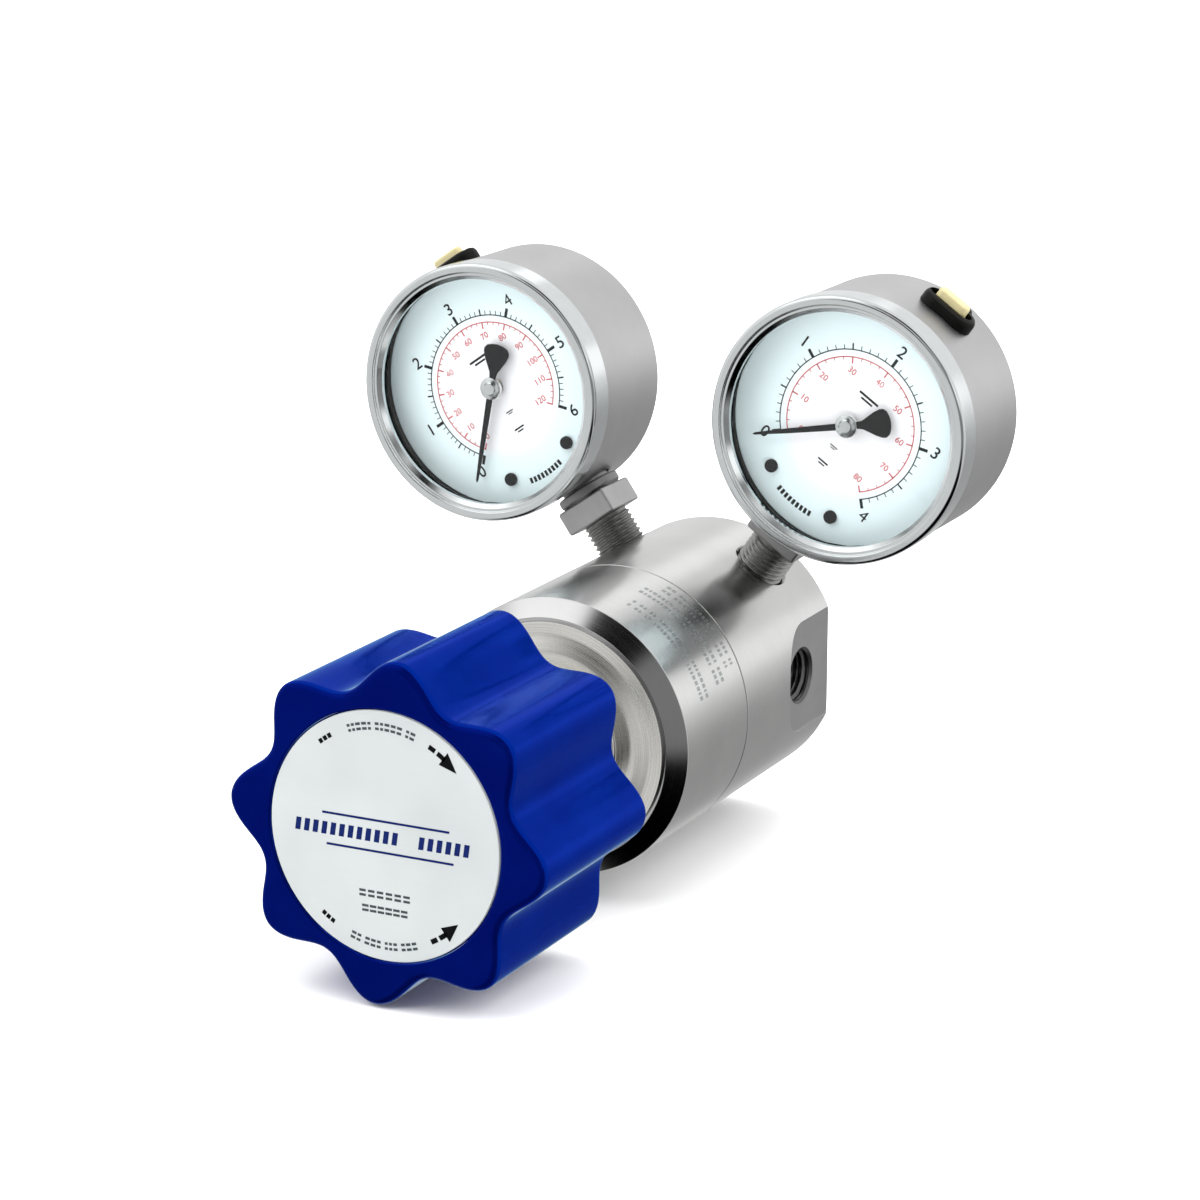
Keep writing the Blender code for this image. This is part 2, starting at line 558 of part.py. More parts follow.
def build_gauge_movement(prefix, centre, sector_empty, link_empty, paint):
    """Pointer, pinion, sector gear, link, the frame that carries them, and the tube."""
    needle = [
        (-0.9, 0.0), (-0.8, 14.0), (-0.35, POINTER_LENGTH - 0.6), (0.0, POINTER_LENGTH),
        (0.35, POINTER_LENGTH - 0.6), (0.8, 14.0), (0.9, 0.0), (0.9, -4.6), (2.6, -6.0),
        (3.6, -8.0), (3.2, -9.6), (1.6, -10.4), (0.0, -12.2), (-1.6, -10.4), (-3.2, -9.6),
        (-3.6, -8.0), (-2.6, -6.0), (-0.9, -4.6),
    ]
    turn = Matrix.Rotation(POINTER_REST, 4, "Y")
    needle_shape = moved(prism(needle, -33.9, -34.4), turn)
    pointer = add_object(prefix + "pointer", needle_shape, paint["black"], centre)
    join(pointer, rod(2.7, -33.2, -35.3))
    cut(pointer, rod(0.95, -32.0, -34.8, steps=TINY_STEPS))
    teeth = prism(toothed(PINION_TIP_RADIUS, 0.3, PINION_TEETH, 0.0, 360.0), -24.4, -26.6)
    pinion = add_object(prefix + "pinion", teeth, paint["brass"], centre)
    join(pinion, rod(0.7, -21.6, -34.5, steps=TINY_STEPS))

    first, last = SECTOR_REACH
    fan = toothed(SECTOR_TIP_RADIUS, 0.25, 12, first, last)
    tail = LINK_PIN[1] - SECTOR_PIVOT[1]
    fan += [(2.0, 0.0), (1.5, tail), (0.0, tail - 1.6), (-1.5, tail), (-2.0, 0.0)]
    sector = add_object(prefix + "sector", prism(fan, -24.8, -26.2), paint["brass"], sector_empty)
    join(sector, rod(0.7, -21.6, -30.6, steps=TINY_STEPS))
    cut(sector, moved(rod(0.7, -24.0, -27.0, steps=TINY_STEPS), Matrix.Translation((0, 0, tail * MM))))

    reach = Vector(on_circle(TUBE_RADIUS, TUBE_END)) - Vector((LINK_PIN[0], 0.0, LINK_PIN[1]))
    lean = math.atan2(reach.x, reach.z)
    bar = [(-1.2, -1.4), (1.2, -1.4), (1.2, reach.length + 1.4), (-1.2, reach.length + 1.4)]
    bar_shape = moved(prism(bar, -26.5, -27.4), Matrix.Rotation(lean, 4, "Y"))
    link = add_object(prefix + "link", bar_shape, paint["brass"], link_empty)
    join(link, rod(0.45, -24.9, -27.0, steps=TINY_STEPS))
    boss = moved(rod(0.9, -21.6, -27.0, steps=TINY_STEPS), Matrix.Translation(reach * MM))
    join(link, boss)
    build_movement_frame(prefix, centre, paint)
    build_tube(prefix, centre, paint)


def build_movement_frame(prefix, centre, paint):
    rear_plate = [(-7.5, -22.0), (7.5, -22.0), (7.5, 4.0), (-7.5, 4.0)]
    front_plate = [(-12.5, -24.6), (12.5, -24.6), (7.5, -14.0), (7.5, 4.0), (-7.5, 4.0),
                   (-12.5, -14.0)]
    frame = add_object(prefix + "movement_frame", prism(rear_plate, -22.5, -23.4),
                       paint["brass"], centre)
    join(frame, prism(front_plate, -28.6, -29.4))
    for across, up in ((-6.2, 2.6), (6.2, 2.6), (-6.2, -20.6), (6.2, -20.6)):
        pillar = rod(0.9, -23.0, -29.0, steps=TINY_STEPS)
        join(frame, moved(pillar, Matrix.Translation((across * MM, 0, up * MM))))
    for up in (0.0, SECTOR_PIVOT[1]):
        hole = rod(1.05, -21.0, -31.0, steps=TINY_STEPS)
        cut(frame, moved(hole, Matrix.Translation((0, 0, up * MM))))


def build_tube(prefix, centre, paint):
    """A flattened C-shaped tube: an oval section carried round an arc, with closed ends."""
    rings = []
    for station in range(TUBE_STATIONS + 1):
        angle = TUBE_START + (TUBE_END - TUBE_START) * station / TUBE_STATIONS
        points = []
        for side in range(TINY_STEPS):
            around = math.tau * side / TINY_STEPS
            radius = TUBE_RADIUS + TUBE_HALF_THICKNESS * math.cos(around)
            points.append(on_circle(radius, angle, PORT_Y + TUBE_HALF_WIDTH * math.sin(around)))
        rings.append(points)
    add_object(prefix + "bourdon_tube", skin(rings), paint["brass"], centre)


def build_stem(prefix, centre, paint):
    """Socket block inside the case, square wrench block below it, and the pipe thread."""
    outline = [(0.0, -28.0), (6.7, -28.0), (6.7, -34.2), (8.6, -34.2), (8.6, -36.0),
               (7.4, -37.4), (7.4, -42.8), (THREAD_RADIUS - 1.0, STEM_BLOCK_BOTTOM - 0.4)]
    for turn in range(THREAD_TURNS):
        crest = STEM_BLOCK_BOTTOM - 0.9 - turn * THREAD_PITCH
        outline.append((THREAD_RADIUS - 0.25, crest))
        outline.append((THREAD_RADIUS - 1.0, crest - THREAD_PITCH / 2))
    outline += [(THREAD_RADIUS - 0.35, -54.0), (THREAD_RADIUS - 0.6, STEM_END + 1.0),
                (THREAD_RADIUS - 1.6, STEM_END), (0.0, STEM_END)]
    at_port = Matrix.Translation((0, PORT_Y * MM, 0))
    stem = add_object(prefix + "stem", moved(turned(outline, "Z", SMALL_STEPS), at_port),
                      paint["case"], centre)
    half = STEM_BLOCK_WIDTH / 2
    join(stem, box((-half, PORT_Y - half, STEM_BLOCK_BOTTOM),
                   (half, PORT_Y + half, STEM_BLOCK_TOP)))
    join(stem, box((-5.5, PORT_Y - 4.7, -30.0), (5.5, PORT_Y + 4.7, -14.0)))
    cut(stem, moved(rod(1.8, -70.0, -18.0, axis="Z", steps=TINY_STEPS), at_port))


def build_vent(prefix, centre, lever_empty, paint):
    """A rubber plug in the top of the case, with a small lever lying in its slot."""
    at_port = Matrix.Translation((0, PORT_Y * MM, 0))
    oval = []
    for step in range(OVAL_POINTS):
        angle = math.tau * step / OVAL_POINTS
        across = VENT_HALF_WIDTH * math.cos(angle)
        stretch = math.copysign(VENT_HALF_LENGTH - VENT_HALF_WIDTH, across)
        oval.append((across + stretch, VENT_HALF_WIDTH * math.sin(angle)))
    flange = moved(prism(oval, VENT_FLANGE_BASE, VENT_TOP, axis="Z"), at_port)
    plug = add_object(prefix + "vent_plug", flange, paint["rubber"], centre)
    cut(plug, rod(CASE_RADIUS + GAP, -50.0, 10.0, steps=ROUND_STEPS))
    neck = [(0.0, 35.0), (VENT_NECK_RADIUS, 35.0), (VENT_NECK_RADIUS, 31.7), (5.4, 31.4),
            (4.8, 30.2), (0.0, 30.2)]
    join(plug, moved(turned(neck, "Z", SMALL_STEPS), at_port))
    cut(plug, box((-6.1, PORT_Y - 1.9, LEVER_SLOT_FLOOR), (6.1, PORT_Y + 1.9, 40.0)))
    pin_place = Matrix.Translation((LEVER_HINGE[0] * MM, PORT_Y * MM, LEVER_HINGE[1] * MM))
    cut(plug, moved(rod(LEVER_PIN_RADIUS + 0.35, -2.9, 2.9, steps=TINY_STEPS), pin_place))
    bar = [(-1.25, -0.9), (-0.6, -1.3), (8.6, -1.3), (9.2, -0.7), (9.2, 1.2), (8.4, 1.7),
           (-0.5, 1.7), (-1.25, 0.9)]
    lever = add_object(prefix + "vent_lever", prism(bar, -1.55, 1.55), paint["cream"], lever_empty)
    join(lever, rod(LEVER_PIN_RADIUS, -2.5, 2.5, steps=TINY_STEPS))


def build_gauge(name, side, paint):
    prefix = name + "_gauge_"
    centre = add_empty(prefix + "centre", on_circle(GAUGE_DISTANCE, side * GAUGE_ANGLE),
                       turn_about_y=side * GAUGE_ANGLE)
    pivot = (SECTOR_PIVOT[0], 0.0, SECTOR_PIVOT[1])
    sector_empty = add_empty(prefix + "sector_axis", pivot, centre)
    link_empty = add_empty(prefix + "link_axis", (LINK_PIN[0], 0.0, LINK_PIN[1]), centre)
    lever_empty = add_empty(prefix + "lever_axis", (LEVER_HINGE[0], PORT_Y, LEVER_HINGE[1]), centre)
    build_gauge_shell(prefix, centre, paint)
    build_gauge_dial(prefix, centre, paint)
    build_gauge_movement(prefix, centre, sector_empty, link_empty, paint)
    build_stem(prefix, centre, paint)
    build_vent(prefix, centre, lever_empty, paint)


def main():
    clear_scene()
    steel = make_material("stainless", (0.62, 0.62, 0.61), 0.28, 1.0)
    spring_steel = make_material("spring_steel", (0.35, 0.35, 0.37), 0.4, 1.0)
    brass = make_material("brass", (0.72, 0.55, 0.25), 0.35, 1.0)
    rubber = make_material("black_rubber", (0.02, 0.02, 0.02), 0.7, 0.0)
    plastic = make_material("blue_plastic", (0.01, 0.05, 0.38), 0.25, 0.0)
    label_metal = make_material("label_silver", (0.78, 0.79, 0.78), 0.45, 0.6)
    ptfe = make_material("white_ptfe", (0.85, 0.85, 0.83), 0.5, 0.0)
    peek = make_material("seat_polymer", (0.55, 0.47, 0.33), 0.5, 0.0)
    sinter = make_material("sintered_filter", (0.4, 0.36, 0.3), 0.8, 1.0)
    paint = {
        "case": make_material("gauge_steel", (0.55, 0.55, 0.54), 0.38, 1.0),
        "bezel": make_material("bezel_steel", (0.72, 0.72, 0.72), 0.2, 1.0),
        "glass": make_material("clear_window", (0.9, 0.95, 0.96), 0.05, 0.0, 0.3),
        "dial": make_material("dial_face", (0.85, 0.9, 0.92), 0.5, 0.0),
        "black": make_material("black_enamel", (0.015, 0.015, 0.017), 0.4, 0.0),
        "cream": make_material("cream_plastic", (0.85, 0.78, 0.5), 0.45, 0.0),
        "brass": brass,
        "rubber": rubber,
    }
    travel = add_empty("travel_axis")
    knob_axis = add_empty("knob_axis", parent=travel)
    parents = {"button": travel, "piston": add_empty("piston_axis")}
    poppet_axis = add_empty("poppet_axis")
    build_body(steel)
    build_bonnet(steel)
    build_screw(steel, knob_axis)
    build_knob(plastic, knob_axis)
    build_knob_fittings(steel, label_metal, knob_axis)
    build_spring_stack(steel, spring_steel, brass, rubber, ptfe, parents)
    build_valve_seat(steel, spring_steel, rubber, peek, sinter, poppet_axis)
    build_gauge("left", -1, paint)
    build_gauge("right", 1, paint)


main()
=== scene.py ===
"""The looks of a pressure reducing valve with a lobed hand knob and two pressure gauges.

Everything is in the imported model's frame: metres, +Z up, the valve's axis along Y, the
rear face at y = 0 and the knob facing -Y. Outlines are written in millimetres.
"""

import json
import random
from math import copysign, cos, hypot, pi, radians, sin, tan, tau

import bmesh
import bpy
from mathutils import Matrix, Vector

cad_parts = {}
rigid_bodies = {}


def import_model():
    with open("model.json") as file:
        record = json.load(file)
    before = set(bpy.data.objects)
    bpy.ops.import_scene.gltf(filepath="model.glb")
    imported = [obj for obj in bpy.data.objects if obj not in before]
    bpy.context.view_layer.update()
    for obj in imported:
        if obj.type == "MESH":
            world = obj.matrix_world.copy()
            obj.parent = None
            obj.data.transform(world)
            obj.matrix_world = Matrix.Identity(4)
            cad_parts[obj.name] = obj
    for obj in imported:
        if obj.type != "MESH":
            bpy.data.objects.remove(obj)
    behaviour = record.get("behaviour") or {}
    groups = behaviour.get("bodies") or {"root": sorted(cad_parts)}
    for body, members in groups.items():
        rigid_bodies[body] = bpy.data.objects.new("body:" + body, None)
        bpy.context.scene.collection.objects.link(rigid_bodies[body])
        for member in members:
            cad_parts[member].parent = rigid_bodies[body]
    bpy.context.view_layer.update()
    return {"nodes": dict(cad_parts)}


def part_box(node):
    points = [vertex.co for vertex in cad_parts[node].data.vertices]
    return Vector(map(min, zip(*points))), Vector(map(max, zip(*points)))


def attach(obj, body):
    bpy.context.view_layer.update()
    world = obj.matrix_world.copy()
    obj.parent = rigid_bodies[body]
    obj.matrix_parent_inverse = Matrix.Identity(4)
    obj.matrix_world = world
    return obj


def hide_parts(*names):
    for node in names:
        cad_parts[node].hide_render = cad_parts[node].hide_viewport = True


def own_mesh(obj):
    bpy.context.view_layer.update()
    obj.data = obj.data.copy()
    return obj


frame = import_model()

MM = 0.001
SMOOTH_ANGLE = radians(24)
BEVEL_ANGLE = radians(40)
SAME_SPOT = 1e-4
HAIR = 0.0001
FINE = 256
MEDIUM = 128
SMALL = 64

# Driving dimensions of the valve, in millimetres; positions along the axis are y values.
BODY_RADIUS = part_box("valve_body")[1].z / MM
BODY_BORE_RADIUS = 26.0
BODY_BORE_DEPTH = 11.0
PARTING = -58.0
PARTING_GAP = 0.3
BONNET_EDGE = -92.7
BONNET_FACE = -96.2
BONNET_FACE_RADIUS = 30.7
RING_STEP_RADIUS = 24.4
NECK_RADIUS = 17.5
NECK_FRONT = -117.0
PORT_Y = -17.5
PORT_FLAT_X = 31.6
PORT_FLAT_RADIUS = 14.7
THREAD_RADIUS = 6.85
THREAD_PITCH = 1.411
SOCKET_END = 18.0
WAY_RADIUS = 4.5
STEM_HOLE_FLOOR = 21.0
MOUNT_HOLE_OFFSET = 20.0
MOUNT_HOLE_RADIUS = 2.1
SCREW_RADIUS = 8.0
SCREW_ROOT_RADIUS = 7.1
SCREW_PITCH = 1.5
SCREW_REAR = -98.7
SCREW_FRONT = -150.3

KNOB_LOBES = 8
KNOB_TIP_RADIUS = 41.35
KNOB_VALLEY_RADIUS = 34.1
KNOB_LOBE_SHARPNESS = 1.05
KNOB_PHASE = radians(5.5)
KNOB_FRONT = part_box("knob")[0].y / MM
KNOB_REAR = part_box("knob")[1].y / MM
KNOB_CAVITY_RADIUS = 27.0
KNOB_CAVITY_FLOOR = -148.0
KNOB_HUB_RADIUS = 12.5
KNOB_HUB_REAR = -134.0
KNOB_EDGE = 2.0
KNOB_POINTS = 384
LABEL_RADIUS = 29.6
LABEL_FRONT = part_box("knob_label")[0].y / MM
LABEL_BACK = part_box("knob_label")[1].y / MM
LABEL_PRINT = (LABEL_FRONT - 0.03, LABEL_FRONT + 0.05)
LEGEND_RADIUS = 26.0

# Driving dimensions of a gauge, in its own frame: centre on the case's axis, +Z to its top.
GAUGE_ANGLE = radians(35.15)
GAUGE_DISTANCE = 87.25
CASE_RADIUS = 33.5
CASE_REAR = -2.0
BEZEL_RADIUS = 34.0
BEZEL_FRONT = -41.3
BEZEL_OPENING = 29.6
WINDOW_FRONT = -38.1
WINDOW_BACK = -36.9
WINDOW_RADIUS = 32.2
DIAL_FRONT = -32.0
DIAL_BACK = -31.4
DIAL_PRINT = (DIAL_FRONT - 0.03, DIAL_FRONT + 0.05)
DIAL_RADIUS = 31.4
DIAL_SCREW_X = 10.0
DIAL_SCREW_Z = -22.5
POINTER_FRONT = -34.4
POINTER_BACK = -33.9
POINTER_LENGTH = 26.0
SCALE_START = radians(-135.0)
SCALE_END = radians(135.0)
SCALE_RADIUS = 18.9
INNER_SCALE_RADIUS = 17.3
MAKER_MARK_RADIUS = 26.2
CASE_WALL = 1.4
STEM_BLOCK_TOP = -36.6
STEM_BLOCK_BOTTOM = -43.3
STEM_BLOCK_WIDTH = 15.5
STEM_END = -65.6
VENT_TOP = 37.2
LEVER_HINGE = (-4.0, 36.0)

# The part of a noise texture's values that a material spreads over its full range.
NOISE_LOW = 0.3
NOISE_HIGH = 0.7

# Brightness of the studio around the valve, and soft round patches laid over it in turn:
# direction, edge and core angles in degrees, brightness.
SKY_LOW = 0.7
SKY_HIGH = 0.92
SKY_PATCHES = (
    ((0.3, 0.72, -0.62), 39.0, 20.0, 0.4),
    ((0.65, -0.7, 0.1), 42.0, 28.0, 0.26),
    ((0.3, -0.45, -0.85), 48.0, 36.0, 0.0),
    ((-0.35, -0.9, -0.15), 34.0, 18.0, 0.74),
    ((0.18, -0.66, 0.73), 22.0, 14.0, 0.0),
    ((-0.22, -0.96, 0.14), 15.0, 10.0, 0.0),
    ((-0.52, -0.82, 0.24), 13.0, 6.0, 1.0),
    ((-0.52, -0.42, 0.75), 26.0, 16.0, 1.5),
    ((0.86, -0.42, 0.28), 14.0, 6.0, 1.3),
    ((-0.2, 0.86, 0.47), 8.0, 3.0, 1.35),
    ((0.48, 0.86, 0.12), 9.0, 3.0, 1.3),
)


# ---- mesh tools

def linked(name, data):
    """A new object in the scene."""
    thing = bpy.data.objects.new(name, data)
    bpy.context.collection.objects.link(thing)
    return thing


def finished(name, shape, material, place=None, smooth=True):
    """Turn a bmesh in millimetres into a piece, placed by a matrix in metres."""
    bmesh.ops.remove_doubles(shape, verts=shape.verts, dist=SAME_SPOT)
    bmesh.ops.recalc_face_normals(shape, faces=shape.faces)
    bmesh.ops.scale(shape, vec=(MM, MM, MM), verts=shape.verts)
    mesh = bpy.data.meshes.new(name)
    shape.to_mesh(mesh)
    shape.free()
    if smooth:
        shade_smooth(mesh)
    mesh.materials.append(material)
    piece = linked(name, mesh)
    if place is not None:
        piece.matrix_world = place
    return piece


def shade_smooth(mesh):
    mesh.shade_smooth()
    mesh.set_sharp_from_angle(angle=SMOOTH_ANGLE)


def made(name, shape, paint, body, node=None, place=None, smooth=True):
    """A finished piece on its body, with the CAD node that it replaces."""
    piece = finished(name, shape, PAINT[paint], place, smooth)
    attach(piece, body)
    if node:
        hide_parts(node)
    return piece


def shift(x, y, z):
    return Matrix.Translation(Vector((x, y, z)) * MM)


def around(radius, y, angle):
    """The point at a clockwise angle from +Z, as seen from the front, round the Y axis."""
    return (radius * sin(angle), y, radius * cos(angle))


def circle(radius, y, count):
    return [around(radius, y, tau * index / count) for index in range(count)]


def circles(profile, count):
    """Rings of points round the Y axis from (radius, y) pairs."""
    return [circle(radius, y, count) for radius, y in profile]


def bridge(shape, near, far):
    """Join two closed loops of vertices with a band of faces."""
    count = len(near)
    for index in range(count):
        after = (index + 1) % count
        face = tuple(dict.fromkeys((near[index], near[after], far[after], far[index])))
        if len(face) > 2:
            shape.faces.new(face)


def rounded(corners, steps=4):
    """Outline points from (radius, y) corners; a third number is the corner's fillet."""
    points = []
    last = len(corners) - 1
    for index, corner in enumerate(corners):
        here = Vector(corner[:2])
        if len(corner) < 3 or index in (0, last):
            points.append(here)
            continue
        back = Vector(corners[index - 1][:2]) - here
        ahead = Vector(corners[index + 1][:2]) - here
        half = back.angle(ahead) / 2
        reach = min(corner[2] / tan(half), back.length * 0.49, ahead.length * 0.49)
        radius = reach * tan(half)
        start = here + back.normalized() * reach
        middle = here + (back.normalized() + ahead.normalized()).normalized() * (
            radius / sin(half))
        sweep = pi - 2 * half
        turn = copysign(sweep, (-back).cross(ahead))
        for step in range(steps + 1):
            angle = turn * step / steps
            spoke = Matrix.Rotation(angle, 2) @ (start - middle)
            points.append(middle + spoke)
    return points


def lathed(corners, segments=MEDIUM, steps=4):
    """A bmesh turned about the Y axis from (radius, y, fillet) corners."""
    outline = rounded(corners, steps)
    shape = bmesh.new()
    rings = []
    for point in outline:
        if point.x <= 1e-6:
            rings.append([shape.verts.new((0, point.y, 0))] * segments)
        else:
            rings.append([shape.verts.new(spot) for spot in circle(point.x, point.y, segments)])
    pairs = list(zip(rings, rings[1:]))
    if outline[0].x > 0 or outline[-1].x > 0:
        pairs.append((rings[-1], rings[0]))
    for near, far in pairs:
        bridge(shape, near, far)
    return shape


def skinned(rings, capped=True, shape=None):
    """Join rings of equal point counts, with a cap at each end, in a new or given bmesh."""
    shape = shape or bmesh.new()
    loops = [[shape.verts.new(point) for point in ring] for ring in rings]
    for near, far in zip(loops, loops[1:]):
        bridge(shape, near, far)
    if capped:
        shape.faces.new(loops[0])
        shape.faces.new(loops[-1])
    return shape


def extruded(shape, outline, near, far):
    """Add a solid to a bmesh: an (x, z) outline extruded along Y."""
    front = [shape.verts.new((x, near, z)) for x, z in outline]
    rear = [shape.verts.new((x, far, z)) for x, z in outline]
    shape.faces.new(front)
    shape.faces.new(rear)
    bridge(shape, front, rear)


def arc_strip(shape, inner, outer, start, end, near, far, steps):
    """Add a curved strip between two clockwise angles, as a closed solid of quads."""
    sections = []
    for step in range(steps + 1):
        angle = start + (end - start) * step / steps
        sections.append([around(radius, y, angle) for radius, y in
                         ((inner, near), (outer, near), (outer, far), (inner, far))])
    skinned(sections, shape=shape)


def block(shape, centre, size, turn=0.0):
    """Add a box to a bmesh, turned clockwise about its own middle as seen from the front."""
    spin = Matrix.Rotation(turn, 3, "Y")
    half = Vector(size) / 2
    for vert in bmesh.ops.create_cube(shape, size=2.0)["verts"]:
        vert.co = spin @ (vert.co * half) + Vector(centre)


def printed_bar(shape, layer, centre, size, turn=0.0):
    """Add a flat printed bar from its (x, z) centre, and its width and height."""
    near, far = layer
    block(shape, (centre[0], (near + far) / 2, centre[1]), (size[0], far - near, size[1]), turn)


def changed(piece, kind, **settings):
    """Add a modifier to a piece and apply it at once."""
    modifier = piece.modifiers.new(kind.lower(), kind)
    for key, value in settings.items():
        setattr(modifier, key, value)
    mesh = evaluated(piece)
    piece.modifiers.clear()
    piece.data = mesh


def evaluated(piece):
    """A new mesh of what a piece looks like with its modifiers, or of a text."""
    bpy.context.view_layer.update()
    graph = bpy.context.evaluated_depsgraph_get()
    return bpy.data.meshes.new_from_object(piece.evaluated_get(graph))


def cut(piece, shape, place=None, operation="DIFFERENCE"):
    tool = finished(piece.name + "_tool", shape, piece.data.materials[0], place)
    changed(piece, "BOOLEAN", operation=operation, solver="EXACT", object=tool)
    bpy.data.objects.remove(tool, do_unlink=True)
    shade_smooth(piece.data)


def softened(piece, width, segments=2):
    """Round off a piece's sharp edges."""
    changed(piece, "BEVEL", width=width * MM, segments=segments, limit_method="ANGLE",
            angle_limit=BEVEL_ANGLE, use_clamp_overlap=True, harden_normals=False)
    shade_smooth(piece.data)


def even_shading():
    """Let large flat faces keep one shade where they meet a rounding or a cut."""
    kept = set(frame["nodes"].values())
    for piece in list(bpy.context.scene.objects):
        if piece.type == "MESH" and piece not in kept:
            changed(piece, "WEIGHTED_NORMAL", keep_sharp=True)


def thread_height(phase):
    """A trapezoid thread form, 0 at the root and 1 at the crest."""
    slope = abs(2.0 * (phase % 1.0) - 1.0)
    return min(max((slope - 0.12) / 0.76, 0.0), 1.0)


def threaded(root, crest, start, end, pitch, taper=0.0, per_pitch=10):
    """Rings of a right-hand helical thread about Y; crest below root makes it internal."""
    rings = []
    length = abs(end - start)
    count = int(length / pitch * per_pitch)
    way = copysign(1.0, end - start)
    for step in range(count + 1):
        along = length * step / count
        fade = max(min(1.0, along / pitch, (length - along) / pitch), 0.0)
        y = start + way * along
        ring = []
        for index in range(SMALL):
            angle = tau * index / SMALL
            height = thread_height(y / pitch - angle / tau) * fade
            ring.append(around(root + (crest - root) * height - taper * along, y, angle))
        rings.append(ring)
    return rings


def coil(mean_radius, wire_radius, rear, front, turns, per_turn=36, sides=12):
    """Rings of wire along a compression spring about Y, with a closed turn at each end."""
    closed = 2.15 * wire_radius
    live = (rear - front - 2 * wire_radius - 2 * closed) / (turns - 2)
    rings = []
    for step in range(turns * per_turn + 1):
        turn = step / per_turn
        fallen = closed * min(turn, 1.0)
        fallen += live * min(max(turn - 1.0, 0.0), turns - 2)
        fallen += closed * max(turn - turns + 1.0, 0.0)
        middle = rear - wire_radius - fallen
        ring = []
        for side in range(sides):
            lean = tau * side / sides
            ring.append(around(mean_radius + wire_radius * cos(lean),
                               middle + wire_radius * sin(lean), tau * turn))
        rings.append(ring)
    return rings


# ---- materials

PAINT = {}


class Nodes:
    """Short calls that add nodes to a material's or a world's tree."""

    def __init__(self, owner):
        owner.use_nodes = True
        self.tree = owner.node_tree

    def feed(self, socket, value):
        """Link another node's output to a socket, or set its plain value."""
        if isinstance(value, bpy.types.NodeSocket):
            self.tree.links.new(value, socket)
        else:
            socket.default_value = value

    def wire(self, node, **inputs):
        for key, value in inputs.items():
            self.feed(node.inputs[key.replace("_", " ")], value)
        return node

    def node(self, kind, **inputs):
        return self.wire(self.tree.nodes.new("ShaderNode" + kind), **inputs)


class Surface(Nodes):
    """A Principled material, and the patterns that shape its look."""

    def __init__(self, name, **plain):
        self.material = bpy.data.materials.new(name)
        super().__init__(self.material)
        self.shader = self.wire(self.tree.nodes["Principled BSDF"], **plain)
        self.position = self.node("TexCoord").outputs["Object"]
        PAINT[name] = self.material

    def noise(self, scale, detail=3.0, stretch=(1.0, 1.0, 1.0), roughness=0.55):
        """Noise in cycles per millimetre, stretched along the object's axes."""
        mapping = self.node("Mapping", Vector=self.position, Scale=[part / MM for part in stretch])
        return self.node("TexNoise", Vector=mapping.outputs["Vector"], Scale=scale, Detail=detail,
                         Roughness=roughness).outputs["Fac"]

    def maths(self, operation, *values):
        node = self.node("Math")
        node.operation = operation
        for socket, value in zip(node.inputs, values):
            self.feed(socket, value)
        return node.outputs["Value"]

    def split(self):
        return self.node("SeparateXYZ", Vector=self.position).outputs

    def axis_radius(self):
        """Distance from the object's Y axis."""
        parts = self.split()
        across = self.maths("MULTIPLY", parts["X"], parts["X"])
        up = self.maths("MULTIPLY", parts["Z"], parts["Z"])
        return self.maths("SQRT", self.maths("ADD", across, up))

    def turned_lines(self, scale):
        """Noise that runs round the Y axis, as a lathe tool leaves it."""
        along = self.maths("MULTIPLY", self.split()["Y"], 0.83)
        node = self.node("TexNoise", Scale=scale / MM, Detail=4.0, Roughness=0.65)
        node.noise_dimensions = "1D"
        self.wire(node, W=self.maths("ADD", along, self.axis_radius()))
        return node.outputs["Fac"]

    def mixed(self, factor, low, high):
        return self.node("MapRange", Value=factor, To_Min=low, To_Max=high, From_Min=NOISE_LOW,
                         From_Max=NOISE_HIGH).outputs["Result"]

    def colour(self, factor, dark, light, first=NOISE_LOW, last=NOISE_HIGH):
        ramp = self.node("ValToRGB", Fac=factor)
        for stop, place, tone in zip(ramp.color_ramp.elements, (first, last), (dark, light)):
            stop.position = place
            stop.color = (*tone, 1.0)
        self.wire(self.shader, Base_Color=ramp.outputs["Color"])

    def metal_colour(self, factor, tone, dimming):
        self.colour(factor, [part * dimming for part in tone], tone)

    def rough(self, factor, low, high):
        self.wire(self.shader, Roughness=self.mixed(factor, low, high))

    def bump(self, *layers):
        """Raised detail from (height, depth in millimetres) layers, coarse ones first."""
        normal = None
        for height, depth in layers:
            node = self.node("Bump", Strength=1.0, Distance=depth * MM, Height=height)
            if normal is not None:
                self.wire(node, Normal=normal)
            normal = node.outputs["Normal"]
        self.wire(self.shader, Normal=normal)


def turned_steel(name, tone, low, high, depth=0.0016, spread=0.4):
    """Steel off the lathe, whose highlights spread across the tool's lines."""
    surface = Surface(name, Metallic=1.0, Anisotropic=spread)
    fine = surface.turned_lines(2.2)
    cloud = surface.noise(0.06)
    surface.metal_colour(cloud, tone, 0.93)
    surface.rough(fine, low, high)
    surface.bump((cloud, 0.004), (fine, depth))
    tangent = surface.node("Tangent")
    tangent.direction_type = "RADIAL"
    tangent.axis = "Y"
    surface.wire(surface.shader, Tangent=tangent.outputs["Tangent"])


def milled_steel(name, tone):
    """Flat cut faces: fine straight tool marks along the axis."""
    surface = Surface(name, Metallic=1.0)
    marks = surface.noise(2.5, stretch=(1.0, 0.06, 1.0))
    surface.metal_colour(surface.noise(0.08), tone, 0.9)
    surface.rough(marks, 0.3, 0.42)
    surface.bump((marks, 0.002))


